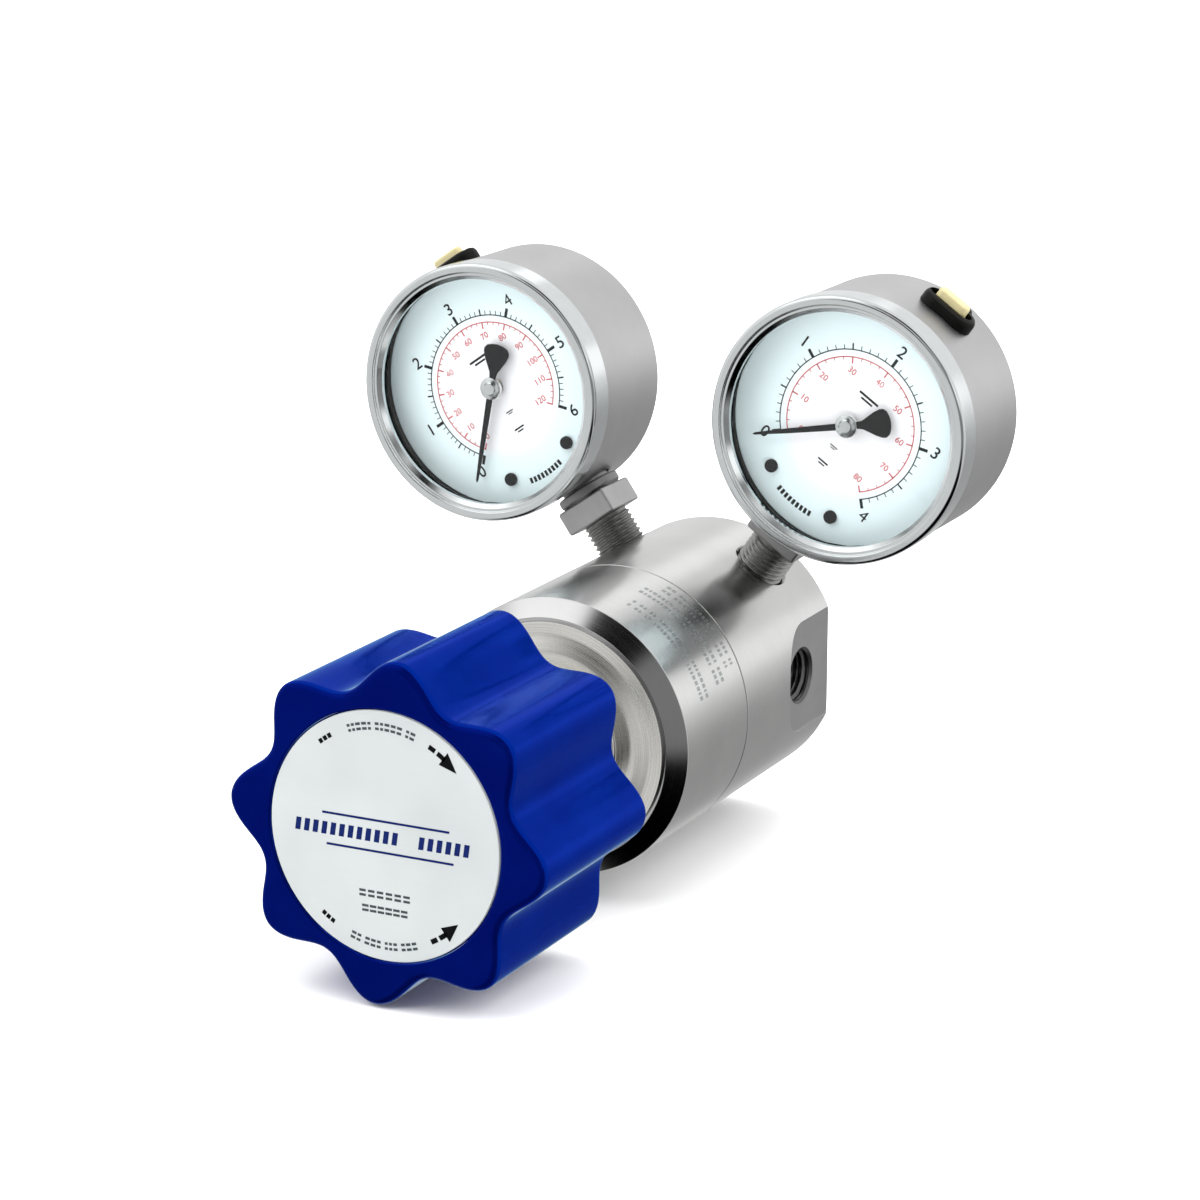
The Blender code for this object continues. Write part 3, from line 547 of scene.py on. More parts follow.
def satin_steel(name, tone, low, high):
    surface = Surface(name, Metallic=1.0)
    grain = surface.noise(3.0, detail=4.0)
    cloud = surface.noise(0.05)
    surface.metal_colour(cloud, tone, 0.92)
    surface.rough(grain, low, high)
    surface.bump((cloud, 0.006), (surface.turned_lines(1.6), 0.0014), (grain, 0.0008))


def polished_steel(name, tone):
    surface = Surface(name, Metallic=1.0)
    smears = surface.noise(0.25, detail=5.0)
    surface.metal_colour(smears, tone, 0.95)
    surface.rough(smears, 0.1, 0.19)
    surface.bump((surface.turned_lines(1.2), 0.0008))


def sintered_metal(name):
    surface = Surface(name, Metallic=1.0)
    grain = surface.noise(3.0, detail=5.0, roughness=0.8)
    surface.colour(grain, (0.2, 0.17, 0.13), (0.45, 0.4, 0.33))
    surface.rough(grain, 0.6, 0.9)
    surface.bump((grain, 0.08))


def moulded_plastic(name, dark, light, low=0.35, high=0.5, grain_depth=0.003, **plain):
    surface = Surface(name, **plain)
    surface.colour(surface.noise(0.07, detail=2.0), dark, light)
    surface.rough(surface.noise(0.4, detail=4.0), low, high)
    surface.bump((surface.noise(0.16, detail=1.0), 0.012), (surface.noise(2.0), grain_depth))


def knob_plastic(name, dark, light):
    moulded_plastic(name, dark, light, 0.08, 0.16, grain_depth=0.0006, Metallic=0.55,
                    Specular_IOR_Level=0.03, Specular_Tint=(0.04, 0.55, 1.0, 1.0))


def printed_ink(name, dark, light):
    surface = Surface(name, Specular_IOR_Level=0.06)
    surface.colour(surface.noise(3.0, detail=2.0), dark, light)
    surface.rough(surface.noise(6.0), 0.4, 0.6)


def sheet_metal_label(name):
    surface = Surface(name, Metallic=0.35)
    brushed = surface.noise(1.6, detail=4.0, stretch=(0.05, 1.0, 1.0))
    surface.colour(surface.noise(0.03, detail=2.0), (0.5, 0.53, 0.535), (0.58, 0.61, 0.615))
    surface.rough(brushed, 0.34, 0.5)
    surface.bump((brushed, 0.001))


def dial_paint(name):
    """White paint, a little bluer outside the scale than inside it."""
    surface = Surface(name, Specular_IOR_Level=0.3)
    radius = surface.maths("DIVIDE", surface.axis_radius(), DIAL_RADIUS * MM)
    cloud = surface.maths("MULTIPLY", surface.noise(0.08), 0.1)
    surface.colour(surface.maths("ADD", radius, cloud), (0.97, 0.93, 0.95), (0.86, 0.97, 0.99),
                   first=0.56, last=0.68)
    grain = surface.noise(4.0)
    surface.rough(grain, 0.5, 0.65)
    surface.bump((grain, 0.0015))


def window_glass(name):
    """Clear flat glass: it lets light straight through and mirrors more at a slant."""
    surface = Surface(name)
    clear = surface.node("BsdfTransparent", Color=(0.985, 0.998, 0.998, 1.0))
    shine = surface.node("BsdfGlossy", Roughness=surface.mixed(surface.noise(0.1), 0.01, 0.05))
    slant = surface.node("LayerWeight", Blend=0.5).outputs["Facing"]
    mirrored = surface.maths("MULTIPLY_ADD", surface.maths("POWER", slant, 5.0), 0.93, 0.035)
    both = surface.node("MixShader", Fac=mirrored)
    surface.feed(both.inputs[1], clear.outputs["BSDF"])
    surface.feed(both.inputs[2], shine.outputs["BSDF"])
    surface.wire(surface.tree.nodes["Material Output"], Surface=both.outputs["Shader"])


BAR_STEEL = (0.63, 0.63, 0.625)
turned_steel("body_steel", BAR_STEEL, 0.17, 0.26)
# A much lighter steel for the bonnet's face and neck: painted light, standing in for the light that
# the knob keeps off them.
turned_steel("face_steel_painted_light", (0.84, 0.83, 0.79), 0.2, 0.32, depth=0.0006, spread=0.5)
turned_steel("chamfer_steel", (0.6, 0.6, 0.6), 0.12, 0.2, depth=0.0008)
turned_steel("faced_steel", BAR_STEEL, 0.24, 0.34, spread=0.0)
milled_steel("milled_steel", (0.5, 0.5, 0.5))
# A darker copy of the milled steel for threads: painted shade in their roots.
milled_steel("thread_steel_painted_shade", (0.36, 0.36, 0.35))
# Near-black steel for the port bores and their threads: painted shade inside the holes.
milled_steel("bore_steel_painted_shade", (0.16, 0.16, 0.16))
milled_steel("etched_steel", (0.42, 0.44, 0.44))
# Darkened steel for the gauge stems' collars: painted shade where the case shades them.
satin_steel("collar_steel_painted_shade", (0.3, 0.3, 0.3), 0.35, 0.5)
satin_steel("spring_steel", (0.32, 0.32, 0.34), 0.3, 0.45)
satin_steel("gauge_steel", (0.605, 0.605, 0.605), 0.34, 0.46)
satin_steel("brass", (0.72, 0.53, 0.24), 0.25, 0.4)
polished_steel("bezel_steel", (0.75, 0.78, 0.785))
polished_steel("hub_metal", (0.8, 0.81, 0.8))
sintered_metal("sintered_filter")
knob_plastic("blue_plastic", (0.0004, 0.011, 0.18), (0.0004, 0.015, 0.21))
# A darker copy of the knob's blue for the faces turned to the front: painted shade, as the front
# gets less light than the sides.
knob_plastic("blue_face_painted_shade", (0.0005, 0.0035, 0.1), (0.0005, 0.005, 0.115))
moulded_plastic("black_rubber", (0.0015, 0.0015, 0.0015), (0.004, 0.004, 0.0036),
                grain_depth=0.006, Specular_IOR_Level=0.15)
moulded_plastic("cream_plastic", (0.5, 0.43, 0.22), (0.58, 0.52, 0.3))
moulded_plastic("white_ptfe", (0.78, 0.78, 0.76), (0.86, 0.86, 0.84), 0.4)
moulded_plastic("seat_polymer", (0.5, 0.41, 0.27), (0.58, 0.49, 0.34), 0.4)
printed_ink("black_enamel", (0.0012, 0.0015, 0.002), (0.003, 0.0036, 0.0045))
printed_ink("red_ink", (0.5, 0.05, 0.06), (0.62, 0.1, 0.1))
printed_ink("blue_ink", (0.002, 0.008, 0.07), (0.004, 0.014, 0.1))
printed_ink("grey_ink", (0.03, 0.04, 0.045), (0.06, 0.07, 0.075))
sheet_metal_label("label_silver")
dial_paint("dial_face")
window_glass("clear_window")


# ---- valve body and bonnet

def build_valve_body():
    """The rear bar, with its port flats, threaded sockets and tapped mounting holes."""
    floor = PARTING + BODY_BORE_DEPTH
    corners = [(0.0, 0.0), (BODY_RADIUS, 0.0, 1.3), (BODY_RADIUS, PARTING, 0.25),
               (BODY_BORE_RADIUS, PARTING, 0.2), (BODY_BORE_RADIUS, floor), (0.0, floor)]
    body = made("body_shell", lathed(corners, FINE), "body_steel", "housing", "valve_body")
    body.data.materials.append(PAINT["milled_steel"])
    for side in (-1, 1):
        cut(body, flat_cutter(side))
        socket = [(0.0, PORT_FLAT_X + 1.0), (THREAD_RADIUS + 1.7, PORT_FLAT_X + 1.0),
                  (THREAD_RADIUS, PORT_FLAT_X - 0.7), (THREAD_RADIUS, SOCKET_END),
                  (WAY_RADIUS, SOCKET_END), (WAY_RADIUS, SOCKET_END - 4.0), (0.0, SOCKET_END - 4.0)]
        cut(body, lathed(socket, SMALL), sideways(side))
        stem_hole = [(0.0, BODY_RADIUS + 3.0), (THREAD_RADIUS + 0.9, BODY_RADIUS + 3.0),
                     (THREAD_RADIUS + 0.9, BODY_RADIUS - 0.5),
                     (THREAD_RADIUS + 0.1, BODY_RADIUS - 1.3),
                     (THREAD_RADIUS + 0.1, STEM_HOLE_FLOOR), (0.0, STEM_HOLE_FLOOR)]
        lean = Matrix.Rotation(side * GAUGE_ANGLE, 4, "Y")
        cut(body, lathed(stem_hole, SMALL), shift(0, PORT_Y, 0) @ lean @ UPRIGHT)
        hole = [(0.0, 1.0), (MOUNT_HOLE_RADIUS + 1.3, 1.0), (MOUNT_HOLE_RADIUS, -0.5),
                (MOUNT_HOLE_RADIUS, -8.0), (0.0, -9.2)]
        cut(body, lathed(hole, SMALL // 2), shift(0, 0, side * MOUNT_HOLE_OFFSET))
    body.data.materials.append(PAINT["bore_steel_painted_shade"])
    body.data.materials.append(PAINT["faced_steel"])
    # Faces inside the ports take the near-black steel, painted shade; the flats take the milled
    # steel and the rear face the faced steel.
    port_reach = (THREAD_RADIUS + 1.6) * MM
    for polygon in body.data.polygons:
        middle = polygon.center
        depth = PORT_FLAT_X * MM - abs(middle.x)
        in_port = hypot(middle.y - PORT_Y * MM, middle.z) < port_reach and depth > HAIR
        if polygon.normal.y > 0.99:
            polygon.material_index = 3
        elif in_port:
            polygon.material_index = 2
        else:
            polygon.material_index = int(abs(polygon.normal.x) > 0.999 and abs(depth) < HAIR)
    for side, name in ((-1, "inlet_thread"), (1, "outlet_thread")):
        build_port_thread(name, side)


def flat_cutter(side):
    """Everything outside the milled flat: a round-ended slot that is open to the rear."""
    outline = [(2.0, PORT_FLAT_RADIUS), (2.0, -PORT_FLAT_RADIUS)]
    steps = 48
    for step in range(steps + 1):
        angle = -pi / 2 + pi * step / steps
        outline.append((PORT_Y - PORT_FLAT_RADIUS * cos(angle),
                        PORT_FLAT_RADIUS * sin(angle)))
    near = [(side * PORT_FLAT_X, y, z) for y, z in outline]
    far = [(side * (BODY_RADIUS + 2.0), y, z) for y, z in outline]
    return skinned([near, far])


UPRIGHT = Matrix.Rotation(radians(90.0), 4, "X")


def sideways(side):
    """Carries a shape turned about Y to lie along X at the ports' height."""
    return shift(0, PORT_Y, 0) @ Matrix.Rotation(radians(-90.0) * side, 4, "Z")


def build_port_thread(name, side):
    """The pipe thread inside a port, as a thin threaded sleeve in the socket."""
    start, end = PORT_FLAT_X - 0.9, SOCKET_END + 1.0
    rings = threaded(THREAD_RADIUS - 0.05, THREAD_RADIUS - 0.85, start, end, THREAD_PITCH,
                     taper=0.028)
    outer = circles([(THREAD_RADIUS - 0.01, y) for y in (end, start)], SMALL)
    # The sleeve is near-black: painted shade inside the port.
    made(name, skinned(rings + outer + [rings[0]], capped=False), "bore_steel_painted_shade", "housing",
         place=sideways(side))


def build_bonnet():
    """The front bar with its chamfer, the groove round its face, and the neck."""
    joint = PARTING - PARTING_GAP
    groove_radius = BONNET_FACE_RADIUS - 0.9
    corners = [
        (16.0, PARTING + 10.0), (25.6, PARTING + 10.0, 0.5), (25.6, joint),
        (BODY_RADIUS, joint, 0.25), (BODY_RADIUS, BONNET_EDGE, 0.3),
        (BONNET_FACE_RADIUS, BONNET_FACE, 0.15), (BONNET_FACE_RADIUS, BONNET_FACE + 1.1),
        (groove_radius, BONNET_FACE + 1.1), (groove_radius, BONNET_FACE, 0.1),
        (RING_STEP_RADIUS + 2.5, BONNET_FACE - 0.2, 9.0),
        (RING_STEP_RADIUS - 2.0, BONNET_FACE - 1.3, 9.0),
        (NECK_RADIUS, BONNET_FACE - 1.4, 0.8), (NECK_RADIUS, NECK_FRONT, 1.0),
        (SCREW_RADIUS + 0.5, NECK_FRONT, 0.5), (SCREW_RADIUS + 0.3, -101.0), (16.0, -101.0),
    ]
    bonnet = made("bonnet_shell", lathed(corners, FINE), "body_steel", "housing", "bonnet")
    bonnet.data.materials.append(PAINT["chamfer_steel"])
    bonnet.data.materials.append(PAINT["face_steel_painted_light"])
    # Faces in front of the face level take the lighter steel, painted light; the bevelled front
    # edge takes the chamfer steel.
    for polygon in bonnet.data.polygons:
        y = polygon.center.y / MM
        polygon.material_index = 2 if y < BONNET_FACE + 0.05 else int(y < BONNET_EDGE - 0.2)


def build_etched_marks():
    """Rows of plain dashes that stand for the etched lines round the bonnet."""
    rows = ((-80.0, 22.0, 72.0), (-70.0, 19.0, 70.0), (-63.0, 24.0, 66.0))
    line_offset, half_height = 1.5, 0.75
    chance = random.Random(7)
    shape = bmesh.new()
    for middle, first, last in rows:
        angle = first
        while angle < last:
            length = chance.choice((1.0, 1.3, 1.7))
            for line in (middle - line_offset, middle + line_offset):
                arc_strip(shape, BODY_RADIUS - 0.02, BODY_RADIUS + 0.004, radians(angle),
                          radians(angle + length), line - half_height, line + half_height, 3)
            angle += length + (0.7 if chance.random() < 0.8 else 2.2)
    made("etched_marks", shape, "etched_steel", "housing")


# ---- knob and adjusting screw

def knob_outline(inset, y):
    """The eight-lobed outline, moved in along its own normals."""
    def at(angle):
        wave = 0.5 + 0.5 * cos(KNOB_LOBES * (angle - KNOB_PHASE))
        radius = KNOB_VALLEY_RADIUS + (KNOB_TIP_RADIUS - KNOB_VALLEY_RADIUS) * (
            wave ** KNOB_LOBE_SHARPNESS)
        return Vector((radius * sin(angle), radius * cos(angle)))

    points = []
    small = 1e-3
    for index in range(KNOB_POINTS):
        angle = tau * index / KNOB_POINTS
        along = (at(angle + small) - at(angle - small)).normalized()
        spot = at(angle) + Vector((along.y, -along.x)) * inset
        points.append((spot.x, y, spot.y))
    return points


def stadium(half_width, reach, height, along=0.0, steps=48):
    """A level ring of points with straight sides along X and round ends."""
    ring = []
    for step in range(steps):
        angle = tau * (step + 0.5) / steps
        x = half_width * cos(angle)
        ring.append((x + copysign(reach, x) + along, half_width * sin(angle), height))
    return ring


def build_knob():
    """The lobed knob: its label seat, face, lobes, and the cavity and hub behind."""
    rings = circles(((0.5, LABEL_BACK + 0.3), (LABEL_RADIUS + 0.35, LABEL_BACK + 0.3),
                     (LABEL_RADIUS + 0.45, KNOB_FRONT + 0.25),
                     (LABEL_RADIUS + 0.75, KNOB_FRONT)), KNOB_POINTS)
    steps = 7
    rounding = [pi / 2 * step / steps for step in range(steps + 1)]
    for angle in rounding:
        rings.append(knob_outline(KNOB_EDGE * (1 - sin(angle)),
                                  KNOB_FRONT + KNOB_EDGE * (1 - cos(angle))))
    for share in (0.25, 0.5, 0.75):
        rings.append(knob_outline(0.0, KNOB_FRONT + (KNOB_REAR - KNOB_FRONT) * share))
    for angle in rounding:
        rings.append(knob_outline(KNOB_EDGE * (1 - cos(angle)),
                                  KNOB_REAR - KNOB_EDGE * (1 - sin(angle))))
    rings += circles((
        (KNOB_CAVITY_RADIUS + 0.5, KNOB_REAR), (KNOB_CAVITY_RADIUS, KNOB_REAR - 0.6),
        (KNOB_CAVITY_RADIUS - 0.6, KNOB_CAVITY_FLOOR + 1.0),
        (KNOB_CAVITY_RADIUS - 1.5, KNOB_CAVITY_FLOOR), (KNOB_HUB_RADIUS + 0.9, KNOB_CAVITY_FLOOR),
        (KNOB_HUB_RADIUS, KNOB_CAVITY_FLOOR + 1.0), (KNOB_HUB_RADIUS - 0.3, KNOB_HUB_REAR - 0.6),
        (KNOB_HUB_RADIUS - 0.9, KNOB_HUB_REAR), (SCREW_RADIUS + 0.4, KNOB_HUB_REAR),
        (SCREW_RADIUS + 0.4, KNOB_HUB_REAR - 14.0)), KNOB_POINTS)
    knob = made("knob_shell", skinned(rings), "blue_plastic", "knob_body", "knob")
    knob.data.materials.append(PAINT["blue_face_painted_shade"])
    # Faces turned to the front take the darker blue copy: painted shade.
    for polygon in knob.data.polygons:
        polygon.material_index = int(polygon.normal.y < -0.6)
    knob.visible_glossy = False


def build_knob_ribs():
    """Moulded ribs between the knob's hub and its rim, on the hollow rear side."""
    shape = bmesh.new()
    inner, outer = KNOB_HUB_RADIUS - 0.4, KNOB_CAVITY_RADIUS - 0.1
    thickness, depth = 1.6, 9.0
    for rib in range(KNOB_LOBES):
        angle = KNOB_PHASE + tau * (rib + 0.5) / KNOB_LOBES
        centre = around((inner + outer) / 2, KNOB_CAVITY_FLOOR + depth / 2, angle)
        block(shape, centre, (thickness, depth, outer - inner), turn=angle)
    ribs = made("knob_ribs", shape, "blue_plastic", "knob_body")
    softened(ribs, 0.35)
    ribs.visible_glossy = False


def build_label():
    corners = [(0.0, LABEL_BACK), (LABEL_RADIUS, LABEL_BACK), (LABEL_RADIUS, LABEL_FRONT, 0.2),
               (0.0, LABEL_FRONT)]
    label = made("label_plate", lathed(corners, FINE), "label_silver", "knob_body", "knob_label")
    label.visible_glossy = False


def label_arc(shape, way, first, last, radius, half_width, steps):
    """Add a printed arc: in degrees clockwise from the top, or mirrored from the bottom."""
    base = 0.0 if way > 0 else 180.0
    ends = sorted(radians(base + way * degrees) for degrees in (first, last))
    arc_strip(shape, radius - half_width, radius + half_width, *ends, *LABEL_PRINT, steps)


def build_label_legends():
    """Two curved legends with arrows: above, clockwise; below, the other way."""
    legends = bmesh.new()
    arrows = bmesh.new()
    for way, base, seed in ((1, 0.0, 3), (-1, 180.0, 5)):
        chance = random.Random(seed)
        position = -20.0
        while position < 17.0:
            length = chance.choice((1.7, 2.2, 2.7))
            for line in (-0.6, 0.6):
                label_arc(legends, way, position, position + length, LEGEND_RADIUS + line, 0.32, 3)
            position += length + (0.8 if chance.random() < 0.75 else 2.4)
        for first in (-39.0, -36.0, -33.0):
            label_arc(arrows, way, first, first + 2.3, LEGEND_RADIUS, 0.55, 4)
        for first, last in ((27.5, 31.5), (33.0, 38.0)):
            label_arc(arrows, way, first, last, LEGEND_RADIUS, 0.6, 4)
        head = [(LEGEND_RADIUS, 47.0), (LEGEND_RADIUS + 1.9, 37.0), (LEGEND_RADIUS - 1.9, 37.0)]
        outline = [around(radius, 0.0, radians(base + way * degrees))
                   for radius, degrees in head]
        extruded(arrows, [(x, z) for x, _, z in outline], *LABEL_PRINT)
    made("label_legends", legends, "grey_ink", "knob_body", smooth=False)
    made("label_arrows", arrows, "black_enamel", "knob_body", smooth=False)


def build_label_band():
    """Two rules with rows of plain strokes between, and two short rows below."""
    shape = bmesh.new()
    for x, z in ((0.5, 3.7), (1.5, -3.7)):
        printed_bar(shape, LABEL_PRINT, (x, z), (33.0, 0.55))
    pitch, wide, half_height, slant = 2.3, 1.35, 1.5, 0.45
    for start, count in ((-23.3, 12), (8.9, 6)):
        for index in range(count):
            left = start + pitch * index
            outline = [(left, -half_height), (left + wide, -half_height),
                       (left + wide + slant, half_height), (left + slant, half_height)]
            extruded(shape, outline, *LABEL_PRINT)
    made("label_band", shape, "blue_ink", "knob_body", smooth=False)
    shape = bmesh.new()
    count = 6
    for row, half_width in ((-14.0, 6.9), (-17.6, 6.1)):
        for index in range(count):
            x = -half_width + 2 * half_width * (index + 0.5) / count
            for line in (-0.55, 0.55):
                printed_bar(shape, LABEL_PRINT, (x, row + line), (1.7, 0.6))
    made("label_rows", shape, "grey_ink", "knob_body", smooth=False)


def build_adjusting_screw():
    """The threaded shaft between the neck and the knob's hub."""
    rings = threaded(SCREW_ROOT_RADIUS, SCREW_RADIUS, SCREW_REAR, SCREW_FRONT, SCREW_PITCH,
                     per_pitch=8)
    # The shaft's thread is painted darker: painted shade.
    made("screw_shaft", skinned(rings), "thread_steel_painted_shade", "knob_body", "adjusting_screw")


# ---- springs

def build_springs():
    """Both coil springs, each wound to fill its CAD part's length; every row also names a joint and
    its travel in metres.
    """
    for name, joint, travel, mean_radius, wire_radius, detail in (
            ("range_spring", "screw_travel", 0.0075, 11.5, 1.8, {}),
            ("poppet_spring", "poppet_travel", 0.0008, 3.3, 0.42, {"per_turn": 24, "sides": 8})):
        low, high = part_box(name)
        rings = coil(mean_radius, wire_radius, high.y / MM, low.y / MM, 6, **detail)
        spring = made(name + "_wire", skinned(rings), "spring_steel", "housing", name)
        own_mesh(spring)


# ---- gauges

def dial_stroke(shape, radius, angle, width, length):
    """Add a straight printed mark that points at the dial's centre."""
    x, _, z = around(radius, 0.0, angle)
    printed_bar(shape, DIAL_PRINT, (x, z), (width, length), angle)


class Gauge:
    """One pressure gauge: its side, its place and the numbers on its dial."""

    def __init__(self, side_name, side, majors):
        self.prefix = side_name + "_gauge_"
        self.pointer_body = side_name + "_pointer_body"
        self.lever_body = side_name + "_lever_body"
        self.majors = majors
        self.centre = shift(side * GAUGE_DISTANCE * sin(GAUGE_ANGLE), 0,
                            GAUGE_DISTANCE * cos(GAUGE_ANGLE))
        self.lean = Matrix.Rotation(side * GAUGE_ANGLE, 4, "Y")
        self.place = self.centre @ self.lean

    def add(self, name, shape, paint, slot="", node=None, body="housing", place=None, smooth=True):
        """Make a piece of this gauge in its paint; the slot argument is not used.

        Without a place, the gauge's lean is worked into the mesh.
        """
        if place is None:
            bmesh.ops.transform(shape, matrix=self.lean, verts=shape.verts)
            place = self.centre
        else:
            place = self.place @ place
        node = self.prefix + node if node else None
        slot = paint if slot == "" else slot
        return made(self.prefix + name, shape, paint, body, node, place, smooth)

    def build(self):
        self.build_case()
        self.build_window()
        self.build_dial()
        self.build_scale()
        self.build_inner_scale()
        for way, name in ((-1, "dial_screw_left"), (1, "dial_screw_right")):
            self.build_dial_screw(way, name)
        self.build_pointer()
        self.build_stem()
        self.build_vent()

    def build_case(self):
        """The round case with its pressed rear step, and the bezel ring in front."""
        inside = CASE_RADIUS - CASE_WALL
        step_y = CASE_REAR - 0.5
        floor = CASE_REAR - CASE_WALL
        corners = [
            (0.0, CASE_REAR), (21.0, CASE_REAR), (21.6, step_y, 0.3), (23.4, step_y, 0.3),
            (24.0, CASE_REAR), (CASE_RADIUS, CASE_REAR, 2.2), (CASE_RADIUS, -33.0, 0.2),
            (CASE_RADIUS - 1.1, -33.0), (CASE_RADIUS - 1.1, -35.3), (inside - 0.4, -35.3),
            (inside, -32.6), (inside, floor, 1.2), (0.0, floor),
        ]
        case = self.add("case_shell", lathed(corners, FINE, 6), "gauge_steel", node="case")
        for radius, near, far in ((7.2, -25.0, -38.0), (4.7, 25.0, 38.0)):
            hole = [(0.0, near), (radius, near), (radius, far), (0.0, far)]
            cut(case, lathed(hole, SMALL), self.place @ shift(0, PORT_Y, 0) @ UPRIGHT)
        inside = CASE_RADIUS - 0.8
        lip_y = BEZEL_FRONT + 0.7
        bezel = [
            (inside, -33.3), (BEZEL_RADIUS, -33.3, 0.35), (BEZEL_RADIUS, BEZEL_FRONT, 1.5),
            (BEZEL_RADIUS - 2.4, BEZEL_FRONT, 0.35), (BEZEL_RADIUS - 2.6, lip_y, 0.2),
            (BEZEL_RADIUS - 3.3, lip_y, 0.25), (BEZEL_OPENING, -39.5, 0.3),
            (BEZEL_OPENING, -38.4, 0.1), (inside, -38.4),
        ]
        self.add("bezel_ring", lathed(bezel, FINE, 6), "bezel_steel", node="bezel")

    def build_window(self):
        corners = [(0.0, WINDOW_BACK), (WINDOW_RADIUS, WINDOW_BACK, 0.2),
                   (WINDOW_RADIUS, WINDOW_FRONT, 0.2), (0.0, WINDOW_FRONT)]
        self.add("window_pane", lathed(corners), "clear_window", node="window")

    def build_dial(self):
        corners = [(2.4, DIAL_BACK), (DIAL_RADIUS, DIAL_BACK), (DIAL_RADIUS, DIAL_FRONT, 0.1),
                   (2.4, DIAL_FRONT, 0.1)]
        self.add("dial_plate", lathed(corners), "dial_face", node="dial")

    def angle_at(self, share):
        return SCALE_START + (SCALE_END - SCALE_START) * share

    def build_scale(self):
        """The black scale: an arc, long, middle and short ticks, and a numeral at each major."""
        shape = bmesh.new()
        arc_strip(shape, SCALE_RADIUS, SCALE_RADIUS + 0.3, SCALE_START, SCALE_END, *DIAL_PRINT, 90)
        per_major = 10
        ticks = (self.majors - 1) * per_major
        for tick in range(ticks + 1):
            length, width = 1.3, 0.22
            if tick % per_major == 0:
                length, width = 2.5, 0.8
            elif tick % (per_major // 2) == 0:
                length, width = 1.8, 0.4
            angle = self.angle_at(tick / ticks)
            dial_stroke(shape, SCALE_RADIUS + length / 2, angle, width, length)
        for index in range(9):
            angle = pi + radians(-11.0 + 22.0 * index / 8)
            dial_stroke(shape, MAKER_MARK_RADIUS, angle, 0.8, 1.5)
        for z, half_width, height in ((8.6, 3.0, 1.7), (-12.4, 1.6, 1.3), (-7.4, 1.2, 0.9)):
            printed_bar(shape, DIAL_PRINT, (0.0, z), (half_width * 2, height * 0.35))
            printed_bar(shape, DIAL_PRINT, (0.0, z - height * 0.6),
                        (half_width * 1.2, height * 0.3))
        self.add("scale_print", shape, "black_enamel", smooth=False)
        words = [str(index) for index in range(self.majors)]
        self.build_numerals("numerals", words, 23.5, 4.5, "black_enamel")

    def build_inner_scale(self):
        shape = bmesh.new()
        arc_strip(shape, INNER_SCALE_RADIUS - 0.28, INNER_SCALE_RADIUS, SCALE_START, SCALE_END,
                  *DIAL_PRINT, 90)
        divisions = (self.majors - 1) * 8
        for tick in range(divisions + 1):
            length, width = (1.8, 0.36) if tick % 4 == 0 else (0.9, 0.2)
            dial_stroke(shape, INNER_SCALE_RADIUS - length / 2, self.angle_at(tick / divisions),
                        width, length)
        self.add("inner_scale_print", shape, "red_ink", None, smooth=False)
        words = [str(index * 10) for index in range((self.majors - 1) * 2 + 1)]
        self.build_numerals("inner_numerals", words, 13.6, 2.3, "red_ink")

    def build_numerals(self, name, words, radius, height, paint):
        """Upright numbers round the dial, spread evenly over the scale."""
        shape = bmesh.new()
        for index, word in enumerate(words):
            text = bpy.data.curves.new("numeral", "FONT")
            text.body = word
            text.align_x = "CENTER"
            text.align_y = "CENTER"
            text.size = height
            # The built-in font's 4 fills up when its outline is thickened.
            text.offset = 0.0 if "4" in word else height * 0.01
            text.extrude = 0.04
            text.resolution_u = 4
            holder = linked("numeral", text)
            mesh = evaluated(holder)
            angle = self.angle_at(index / (len(words) - 1))
            mesh.transform(Matrix.Translation(around(radius, DIAL_FRONT + 0.01, angle)) @ UPRIGHT)
            shape.from_mesh(mesh)
            bpy.data.objects.remove(holder, do_unlink=True)
        self.add(name, shape, paint, None, smooth=False)

    def build_dial_screw(self, way, name):
        top = DIAL_FRONT - 1.2
        corners = [(0.0, -29.8), (0.9, -29.8), (0.9, DIAL_FRONT), (1.7, DIAL_FRONT),
                   (1.7, top, 0.6), (0.0, top)]
        place = shift(way * DIAL_SCREW_X, 0, DIAL_SCREW_Z)
        screw = self.add(name + "_head", lathed(corners, 40), "black_enamel", node=name,
                         place=place)
        slot = bmesh.new()
        block(slot, (0.0, top, 0.0), (4.0, 0.8, 0.5), turn=radians(25.0 * way))
        cut(screw, slot, self.place @ place)

    def build_pointer(self):
        """The black needle with its tail weight, and the light hub on the shaft."""
        right = [(0.0, POINTER_LENGTH), (0.3, POINTER_LENGTH - 0.7), (0.62, 16.0), (0.85, 3.0),
                 (0.9, -3.2), (1.1, -4.4), (2.0, -6.0), (3.0, -7.8), (3.6, -9.4), (3.6, -10.4),
                 (2.9, -11.3), (1.5, -11.8)]
        outline = right + [(0.0, -12.0)] + [(-x, z) for x, z in reversed(right[1:])]
        shape = bmesh.new()
        extruded(shape, outline, POINTER_FRONT, POINTER_BACK)
        turn = Matrix.Rotation(SCALE_START, 4, "Y")
        bmesh.ops.transform(shape, matrix=turn, verts=shape.verts)
        needle = self.add("needle", shape, "black_enamel", node="pointer", body=self.pointer_body)
        softened(needle, 0.08)
        hub = [(0.0, -33.0), (2.3, -33.0, 0.1), (3.0, -33.6, 0.1), (3.0, -34.8, 0.5),
               (1.8, -35.1, 0.1), (1.5, -35.35, 0.2), (0.0, -35.4)]
        self.add("pointer_hub", lathed(hub, SMALL), "hub_metal", "bezel_steel",
                 body=self.pointer_body)

